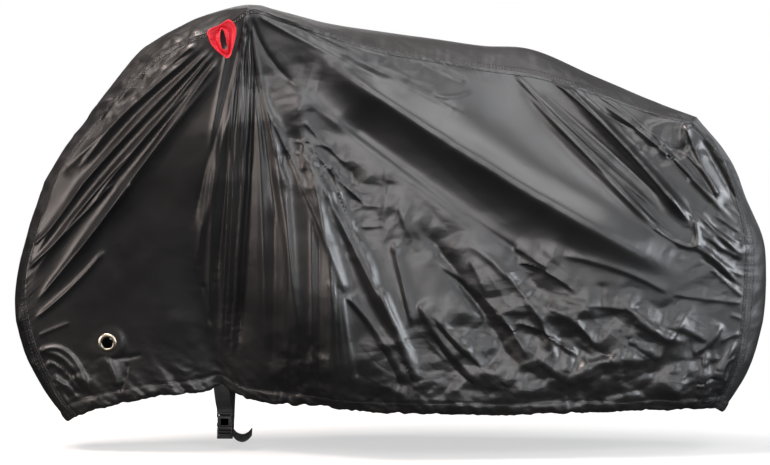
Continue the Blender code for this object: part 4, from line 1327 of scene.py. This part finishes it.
def closed_curve(rows, count):
    """A smooth closed line through the rows, as (count, 2)."""
    points = np.array(rows)
    size = len(points)
    place = np.linspace(0.0, size, count, endpoint=False)
    keys = np.arange(-2, size + 3)
    looped = points[keys % size]
    return np.stack([smooth_curve(keys, column, place) for column in looped.T], 1)


def reach_at(line, centre, turns):
    """How far a closed line lies from a centre, at each of the turns."""
    off = line - np.array(centre)
    angle = np.arctan2(off[:, 1], off[:, 0])
    order = np.argsort(angle)
    return np.interp(turns, angle[order], np.hypot(*off.T)[order], period=2 * math.pi)


def make_loop():
    """Red webbing folded into a teardrop, each strand drawn into a shallow trough."""
    turns = np.linspace(-math.pi, math.pi, LOOP_TURNS + 1)
    inner, outer = (
        reach_at(closed_curve(rows, LOOP_POINTS), LOOP_CENTRE, turns)
        for rows in (LOOP_GAP, LOOP_OUTER)
    )
    share = np.linspace(0.0, 1.0, LOOP_CELLS + 1)[:, None]
    reach = (inner + (outer - inner) * share) * LOOP_SHARE
    x = LOOP_CENTRE.x + LOOP_SHIFT + reach * np.cos(turns)
    z = LOOP_CENTRE.z + reach * np.sin(turns)
    lift = TROUGH_DEPTH * np.cos(share * 2 * math.pi)
    lift = lift + RIB_HEIGHT * np.cos(share * 6 * math.pi + RIB_TURN)
    waver = turns * WAVER_ALONG, share * WAVER_ACROSS
    lift = lift + WAVER_HEIGHT * noise(*waver, SEED_LOOP) - TROUGH_SINK
    begun = smooth_step((turns - STRAND_FROM) / STRAND_FADE)
    ended = smooth_step((turns - STRAND_TO) / STRAND_FADE)
    lift = lift - STRAND_STEP * begun * (1 - ended)
    upright = Matrix.Rotation(math.radians(90), 4, "X")
    top = Matrix.Translation((0.0, -LOOP_OUT, 0.0))
    place = top @ Matrix.Rotation(LOOP_LEAN, 4, "X") @ upright
    points = np.stack([x, z, lift], -1)
    turned = points @ np.array(place.to_3x3()).T + np.array(place.translation)
    # The solid gives how far out the loop is seated
    turned[..., 1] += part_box("hanging_loop")[0].y - turned[..., 1].min()
    fields = {
        "tape_along": turns * LOOP_RADIUS + 0 * share,
        "tape_across": share * LOOP_TAPE + 0 * turns,
    }
    obj = cloth_object("red_loop", turned, fields)
    bm = bmesh.new()
    bm.from_mesh(obj.data)
    bmesh.ops.remove_doubles(bm, verts=bm.verts, dist=LOOP_MERGE)
    bmesh.ops.recalc_face_normals(bm, faces=bm.faces)
    bm.to_mesh(obj.data)
    bm.free()
    thicken(obj, LOOP_THICK)
    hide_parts("hanging_loop")
    return obj


# ---- Strap and buckle ----

WEB_WIDTH = 0.038
WEB_THICK = 0.002
STRAP_X = -0.066
SEWN_TOP = -0.906
SEWN_LOW = -0.924
BUCKLE_WIDTH = 0.038
BUCKLE_TOP = -0.998
BUCKLE_SPLIT = -1.032
BUCKLE_FOOT = -1.054
BUCKLE_Y = -0.030
SEAT_GAP = 0.0003
WEB_CELLS = 10
WEB_STEP = 0.002
WEB_CUP = 0.0004
WEB_CUP_PITCH = 0.02
WEB_EDGE = 0.0004
WEB_CORNER = math.radians(50)  # least angle of an edge that is rounded
BAR_SEGMENTS = 4

# A place on the webbing's middle line and the way across it
Path = namedtuple("Path", "x y z across_x across_y across_z")


def web_strip(name, rows, node):
    """Webbing along a smooth path."""
    table = np.array(rows)
    places = table[:, :3]
    run = run_along(places)
    count = max(8, int(run[-1] / WEB_STEP))
    at = np.linspace(0.0, run[-1], count + 1)
    middle = np.stack([smooth_curve(run, column, at) for column in places.T], 1)
    across = np.stack([smooth_curve(run, column, at) for column in table[:, 3:].T], 1)
    across = unit(across)
    heading = unit(np.gradient(middle, axis=0))
    normal = unit(np.cross(across, heading))
    share = np.linspace(-0.5, 0.5, WEB_CELLS + 1)[:, None, None]
    grid = middle + across * share * WEB_WIDTH
    cup = WEB_CUP * noise(at / WEB_CUP_PITCH, 0.5, SEED_WEB)[None, :, None]
    grid = grid + normal * cup * (4 * share**2)
    fields = {
        "tape_along": at + 0 * share[..., 0],
        "tape_across": share[..., 0] * WEB_WIDTH + 0 * at,
    }
    obj = cloth_object(name, grid, fields)
    thicken(obj, WEB_THICK)
    edge = obj.modifiers.new("Soft edge", "BEVEL")
    edge.affect = "EDGES"
    edge.width = WEB_EDGE
    edge.segments = 2
    edge.profile = 0.5
    edge.material = -1
    edge.limit_method = "ANGLE"
    edge.angle_limit = WEB_CORNER
    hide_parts(node)
    return obj


def make_straps():
    across = (1.0, 0.0, 0.0)
    near_x, far_x = STRAP_X - 0.006, STRAP_X + 0.004
    near_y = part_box("strap_near")[0].y + WEB_THICK / 2
    far_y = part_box("strap_far")[1].y - WEB_THICK / 2
    near = (
        Path(near_x, near_y, SEWN_TOP, *across),
        Path(near_x, near_y, SEWN_LOW, *across),
        Path(STRAP_X - 0.004, near_y + 0.008, -0.950, *across),
        Path(STRAP_X - 0.002, -0.042, -0.974, *across),
        Path(STRAP_X, BUCKLE_Y, BUCKLE_TOP + 0.008, *across),
        Path(STRAP_X, BUCKLE_Y, BUCKLE_TOP + SEAT_GAP, *across),
    )
    far = (
        Path(far_x, far_y, SEWN_TOP, *across),
        Path(far_x, far_y, SEWN_LOW, *across),
        Path(far_x, far_y - 0.008, -0.955, *across),
        Path(STRAP_X + 0.003, 0.047, -0.990, *across),
        Path(STRAP_X + 0.002, 0.036, -1.025, *across),
        Path(STRAP_X + 0.001, 0.020, -1.050, *across),
        Path(STRAP_X, 0.000, -1.060, *across),
        Path(STRAP_X, -0.022, -1.062, *across),
        Path(STRAP_X, BUCKLE_Y, -1.060, *across),
        Path(STRAP_X, BUCKLE_Y, BUCKLE_FOOT - SEAT_GAP, *across),
    )
    start = STRAP_X + BUCKLE_WIDTH / 2 + SEAT_GAP + WEB_THICK / 2
    tail = (
        Path(start, BUCKLE_Y, BUCKLE_FOOT + 0.008, 0.0, 1.0, 0.35),
        Path(start + 0.010, BUCKLE_Y - 0.001, BUCKLE_FOOT - 0.002, 0.0, 1.0, 0.38),
        Path(start + 0.024, BUCKLE_Y - 0.002, BUCKLE_FOOT - 0.006, 0.0, 1.0, 0.40),
        Path(start + 0.038, BUCKLE_Y - 0.003, BUCKLE_FOOT, 0.0, 1.0, 0.40),
        Path(start + 0.047, BUCKLE_Y - 0.004, BUCKLE_FOOT + 0.010, 0.0, 1.0, 0.40),
    )
    return [
        web_strip("near_webbing", near, "strap_near"),
        web_strip("far_webbing", far, "strap_far"),
        web_strip("loose_webbing", tail, "strap_tail"),
    ]


BuckleBar = namedtuple("BuckleBar", "x0 x1 z0 z1 y0 y1 rounding")

# The bars of the buckle's socket, in millimetres from its middle and from its top edge
SOCKET_BARS = (
    BuckleBar(-19.0, -14.0, -34.0, -25.0, -5.0, 5.0, 2.0),
    BuckleBar(14.0, 19.0, -34.0, -25.0, -5.0, 5.0, 2.0),
    BuckleBar(-19.0, -14.5, -11.5, 0.0, -4.6, 4.6, 2.0),
    BuckleBar(14.5, 19.0, -11.5, 0.0, -4.6, 4.6, 2.0),
    BuckleBar(-15.5, 15.5, -34.0, -8.0, -5.0, -2.6, 1.1),
    BuckleBar(-15.5, 15.5, -34.0, -8.0, 2.6, 5.0, 1.1),
    BuckleBar(-16.0, 16.0, -11.5, -8.4, -4.4, 4.4, 1.4),
    BuckleBar(-16.0, 16.0, -3.6, 0.0, -3.6, 3.6, 1.6),
    BuckleBar(-10.0, 10.0, -30.0, -13.0, -5.0, -4.4, 0.25),
)
# The bars of its plug, from the line where the two meet
PLUG_BARS = (
    BuckleBar(-18.5, -14.5, -22.0, -2.2, -3.8, 3.8, 1.8),
    BuckleBar(14.5, 18.5, -22.0, -2.2, -3.8, 3.8, 1.8),
    BuckleBar(-17.0, 17.0, -7.0, -0.5, -4.4, 4.4, 1.6),
    BuckleBar(-17.0, 17.0, -14.5, -11.4, -3.4, 3.4, 1.4),
    BuckleBar(-18.0, 18.0, -22.0, -18.6, -3.4, 3.4, 1.5),
    BuckleBar(-17.6, -12.6, -1.5, 22.0, -2.3, 2.3, 1.8),
    BuckleBar(12.6, 17.6, -1.5, 22.0, -2.3, 2.3, 1.8),
    BuckleBar(-2.4, 2.4, -1.5, 20.0, -2.0, 2.0, 1.0),
)


def make_bars(name, bars, level, node):
    bm = bmesh.new()
    for bar in bars:
        low = Vector((bar.x0, bar.y0, bar.z0)) / 1000
        high = Vector((bar.x1, bar.y1, bar.z1)) / 1000
        made = bmesh.ops.create_cube(bm, size=1.0)["verts"]
        for vert in made:
            vert.co = (low + high) / 2 + Vector(a * b for a, b in zip(vert.co, high - low))
        edges = {edge for vert in made for edge in vert.link_edges}
        bmesh.ops.bevel(
            bm, geom=list(edges), offset=bar.rounding / 1000, segments=BAR_SEGMENTS, profile=0.5,
            affect="EDGES", clamp_overlap=True, material=-1,
        )
    bm.transform(Matrix.Translation((STRAP_X, BUCKLE_Y, level)))
    obj = place_piece(name, finished_mesh(bm, name))
    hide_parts(node)
    return obj


# ---- The pieces of cloth ----

# A cut size of cloth before sewing: width, length and flat area. No piece here is given one.
Cut = namedtuple("Cut", "width length area")


def make_panel(name, far, node):
    grid, fields = turn_in(*panel_points(far))
    if far:
        grid = grid * MIRROR
    panel = cloth_object(name, grid, fields, flip=far)
    open_eyelet_hole(panel, 1 if far else -1)
    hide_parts(node)
    return panel


def make_strips():
    """Both lengths of the strip, each with its hem as the first row of its grid."""
    grid, fields = strip_points()
    seam = whole_seam()
    off = np.abs(seam[:, [SEAM_X, SEAM_Z]] - [CROWN.seam_x, CROWN.seam_z])
    crown = int(np.argmin(off.sum(1)))
    made = []
    for name, node in (("front_cloth", "front_strip"), ("top_cloth", "top_strip")):
        if node == "top_strip":
            part = {field: values[:, crown:][:, ::-1].T for field, values in fields.items()}
            points = grid[:, crown:][:, ::-1].transpose(1, 0, 2)
        else:
            part = {field: values[:, : crown + 1].T for field, values in fields.items()}
            points = grid[::-1, : crown + 1].transpose(1, 0, 2)
            part = {field: values[:, ::-1] for field, values in part.items()}
        strip = cloth_object(name, *turn_in(points, part))
        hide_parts(node)
        made.append(strip)
    return made


# ---- Settings ----


class ClothSettings(bpy.types.PropertyGroup):
    dark: bpy.props.FloatVectorProperty(
        name="Dark colour", description="Colour of the coating where it is clean",
        default=(0.0030, 0.0030, 0.0038), size=3, min=0.0, max=1.0, subtype="COLOR",
    )
    light: bpy.props.FloatVectorProperty(
        name="Light colour", description="Colour of the coating where it is dusty",
        default=(0.0065, 0.0062, 0.0062), size=3, min=0.0, max=1.0, subtype="COLOR",
    )
    worn: bpy.props.FloatVectorProperty(
        name="Worn colour", description="Colour of the coating where it is rubbed",
        default=(0.015, 0.014, 0.013), size=3, min=0.0, max=1.0, subtype="COLOR",
    )
    thread: bpy.props.FloatVectorProperty(
        name="Thread colour", description="Colour of the stitching",
        default=(0.014, 0.014, 0.015), size=3, min=0.0, max=1.0, subtype="COLOR",
    )
    gloss: bpy.props.FloatProperty(
        name="Roughness", description="Roughness of the coating", default=0.38,
        min=0.1, max=0.9, subtype="FACTOR",
    )
    weave: bpy.props.FloatProperty(
        name="Weave", description="Distance between threads of the weave", default=0.0012,
        min=0.0003, max=0.004, precision=5, unit="LENGTH",
    )


class StageSettings(bpy.types.PropertyGroup):
    middle: bpy.props.FloatVectorProperty(
        name="Look at", description="Point at the middle of the picture",
        default=(0.328, 0.0, -0.556), size=3, subtype="TRANSLATION", unit="LENGTH",
    )
    distance: bpy.props.FloatProperty(
        name="Camera distance", description="From the camera to the cover's middle plane",
        default=8.0, min=2.0, max=30.0, unit="LENGTH",
    )
    camera_height: bpy.props.FloatProperty(
        name="Camera height", description="Height of the camera above the crown",
        default=0.0, unit="LENGTH",
    )
    field: bpy.props.FloatProperty(
        name="Picture width", description="Width that the picture shows at the middle plane",
        default=1.8865, min=0.5, max=10.0, unit="LENGTH",
    )
    floor: bpy.props.FloatProperty(
        name="Floor height", description="Height of the floor", default=-1.09, unit="LENGTH",
    )
    floor_colour: bpy.props.FloatVectorProperty(
        name="Floor colour", description="Colour of the floor", default=(0.88, 0.88, 0.88),
        size=3, min=0.0, max=1.0, subtype="COLOR",
    )
    room: bpy.props.FloatProperty(
        name="Room light", description="Brightness of the light from all around",
        default=0.01, min=0.0, max=4.0,
    )
    lamps: bpy.props.FloatProperty(
        name="Lamp strength", description="Multiplies the power of every lamp",
        default=1.0, min=0.0, max=10.0,
    )


Lamp = namedtuple("Lamp", "name azimuth elevation size power colour")

# Soft boxes by the direction that they shine from, in degrees. Azimuth 0 is the camera's side.
LAMPS = (
    Lamp("front_left", -25, 30, 1.6, 46, (1.0, 0.92, 0.90)),
    Lamp("key", 25, 30, 1.6, 40, (0.97, 0.98, 1.0)),
    Lamp("low_front", 8, 6, 1.2, 32, (1.0, 0.96, 0.96)),
    Lamp("low_left", -65, 2, 1.4, 34, (1.0, 0.87, 0.80)),
    Lamp("right", 75, 5, 1.6, 84, (0.91, 0.95, 1.0)),
    Lamp("high_right", 75, 50, 1.6, 40, (1.0, 0.99, 1.0)),
    Lamp("high_left", -75, 55, 1.6, 300, (1.0, 0.87, 0.81)),
    Lamp("top", -90, 80, 1.6, 100, (1.0, 1.0, 1.0)),
    Lamp("far", 180, 12, 1.6, 14, (1.0, 1.0, 1.0)),
    Lamp("rear_side", 138, 18, 1.6, 15, (0.92, 0.95, 1.0)),
    Lamp("low_right", 40, -4, 1.0, 12, (0.93, 0.96, 1.0)),
)
LAMP_DISTANCE = 4.0
FLOOR_SIZE = 30.0
SENSOR_WIDTH = 36.0  # millimetres


# ---- Operators ----


class COVER_OT_cloth(bpy.types.Operator):
    """Build the two side panels and the two lengths of the centre strip"""

    bl_idname = "cover.cloth"
    bl_label = "Build cloth"

    def execute(self, context):
        settings = context.scene.cover_cloth
        finish = nylon_finish(settings, "coated_nylon")
        top_finish = nylon_finish(settings, "rubbed_nylon", STRIP_DULL)
        pieces = [
            make_panel("near_cloth", False, "near_panel"),
            make_panel("far_cloth", True, "far_panel"),
            *make_strips(),
        ]
        for piece in pieces:
            piece.data.materials.append(top_finish if piece.name == "top_cloth" else finish)
        return {"FINISHED"}


class COVER_OT_eyelets(bpy.types.Operator):
    """Build the eyelets that take a lock"""

    bl_idname = "cover.eyelets"
    bl_label = "Build eyelets"

    def execute(self, context):
        finish = brass_finish()
        for name, side, node in (
            ("near_ring", -1, "near_eyelet"),
            ("far_ring", 1, "far_eyelet"),
        ):
            make_eyelet(name, side, node).data.materials.append(finish)
        return {"FINISHED"}


class COVER_OT_loop(bpy.types.Operator):
    """Build the red loop that the cover hangs from"""

    bl_idname = "cover.loop"
    bl_label = "Build hanging loop"

    def execute(self, context):
        finish = webbing_finish("red_tape", RED_DARK, RED_LIGHT, RED_ROUGHNESS)
        make_loop().data.materials.append(finish)
        return {"FINISHED"}


class COVER_OT_strap(bpy.types.Operator):
    """Build the strap under the front wheel and its buckle"""

    bl_idname = "cover.strap"
    bl_label = "Build strap and buckle"

    def execute(self, context):
        webbing = webbing_finish("black_tape", TAPE_DARK, TAPE_LIGHT, TAPE_ROUGHNESS)
        for strap in make_straps():
            strap.data.materials.append(webbing)
        plastic = plastic_finish()
        for name, bars, level, node in (
            ("buckle_female", SOCKET_BARS, BUCKLE_TOP, "buckle_socket"),
            ("buckle_male", PLUG_BARS, BUCKLE_SPLIT, "buckle_plug"),
        ):
            make_bars(name, bars, level, node).data.materials.append(plastic)
        return {"FINISHED"}


class COVER_OT_stage(bpy.types.Operator):
    """Set up the floor, the lamps, the surroundings and the camera"""

    bl_idname = "cover.stage"
    bl_label = "Set the stage"

    def execute(self, context):
        settings, scene = context.scene.cover_stage, context.scene
        bm = bmesh.new()
        bmesh.ops.create_grid(bm, x_segments=1, y_segments=1, size=FLOOR_SIZE)
        floor = bpy.data.objects.new("floor", finished_mesh(bm, "floor"))
        floor.location.z = settings.floor
        floor.visible_glossy = False
        scene.collection.objects.link(floor)
        floor.data.materials.append(floor_finish(settings))

        middle = Vector(settings.middle)
        for lamp in LAMPS:
            data = bpy.data.lights.new(lamp.name, "AREA")
            data.shape = "SQUARE"
            data.size = lamp.size
            data.energy = lamp.power * settings.lamps
            data.color = lamp.colour
            turn, lift = math.radians(lamp.azimuth), math.radians(lamp.elevation)
            level = Vector((math.sin(turn), -math.cos(turn), 0.0)) * math.cos(lift)
            way = level + Vector((0.0, 0.0, math.sin(lift)))
            light = bpy.data.objects.new(lamp.name, data)
            light.location = middle + way * LAMP_DISTANCE
            light.rotation_euler = way.to_track_quat("Z", "Y").to_euler()
            light.visible_camera = False
            scene.collection.objects.link(light)

        world = bpy.data.worlds.new("studio")
        scene.world = world
        world.use_nodes = True
        nodes, links = world.node_tree.nodes, world.node_tree.links
        seen = nodes["Background"]
        lit = nodes.new("ShaderNodeBackground")
        for light in (seen, lit):
            light.inputs["Color"].default_value = WHITE
        lit.inputs["Strength"].default_value = settings.room
        path, mix = nodes.new("ShaderNodeLightPath"), nodes.new("ShaderNodeMixShader")
        links.new(path.outputs["Is Camera Ray"], mix.inputs[0])
        links.new(lit.outputs[0], mix.inputs[1])
        links.new(seen.outputs[0], mix.inputs[2])
        links.new(mix.outputs[0], nodes["World Output"].inputs["Surface"])

        data = bpy.data.cameras.new("camera")
        data.sensor_width = SENSOR_WIDTH
        data.lens = data.sensor_width * settings.distance / settings.field
        camera = bpy.data.objects.new("camera", data)
        camera.location = (middle.x, -settings.distance, settings.camera_height)
        away = camera.location - middle
        camera.rotation_euler = away.to_track_quat("Z", "Y").to_euler()
        scene.collection.objects.link(camera)
        scene.camera = camera
        scene.view_settings.view_transform = "Standard"
        return {"FINISHED"}


class COVER_PT_panel(bpy.types.Panel):
    """Builds the cover and its stage"""

    bl_idname = "COVER_PT_panel"
    bl_label = "Bicycle cover"
    bl_space_type = "VIEW_3D"
    bl_region_type = "UI"
    bl_category = "Cover"

    def draw(self, context):
        for settings in (context.scene.cover_cloth, context.scene.cover_stage):
            for field in settings.__annotations__:
                self.layout.prop(settings, field)
        for operator in OPERATORS:
            self.layout.operator(operator.bl_idname)


SETTINGS = (ClothSettings, StageSettings)
OPERATORS = (COVER_OT_cloth, COVER_OT_eyelets, COVER_OT_loop, COVER_OT_strap, COVER_OT_stage)


def register():
    for cls in (*SETTINGS, *OPERATORS, COVER_PT_panel):
        bpy.utils.register_class(cls)
    bpy.types.Scene.cover_cloth = bpy.props.PointerProperty(type=ClothSettings)
    bpy.types.Scene.cover_stage = bpy.props.PointerProperty(type=StageSettings)


def unregister():
    del bpy.types.Scene.cover_stage
    del bpy.types.Scene.cover_cloth
    for cls in reversed((*SETTINGS, *OPERATORS, COVER_PT_panel)):
        bpy.utils.unregister_class(cls)


def main():
    register()
    bpy.ops.cover.cloth()
    bpy.ops.cover.eyelets()
    bpy.ops.cover.loop()
    bpy.ops.cover.strap()
    bpy.ops.cover.stage()


if __name__ == "__main__":
    main()
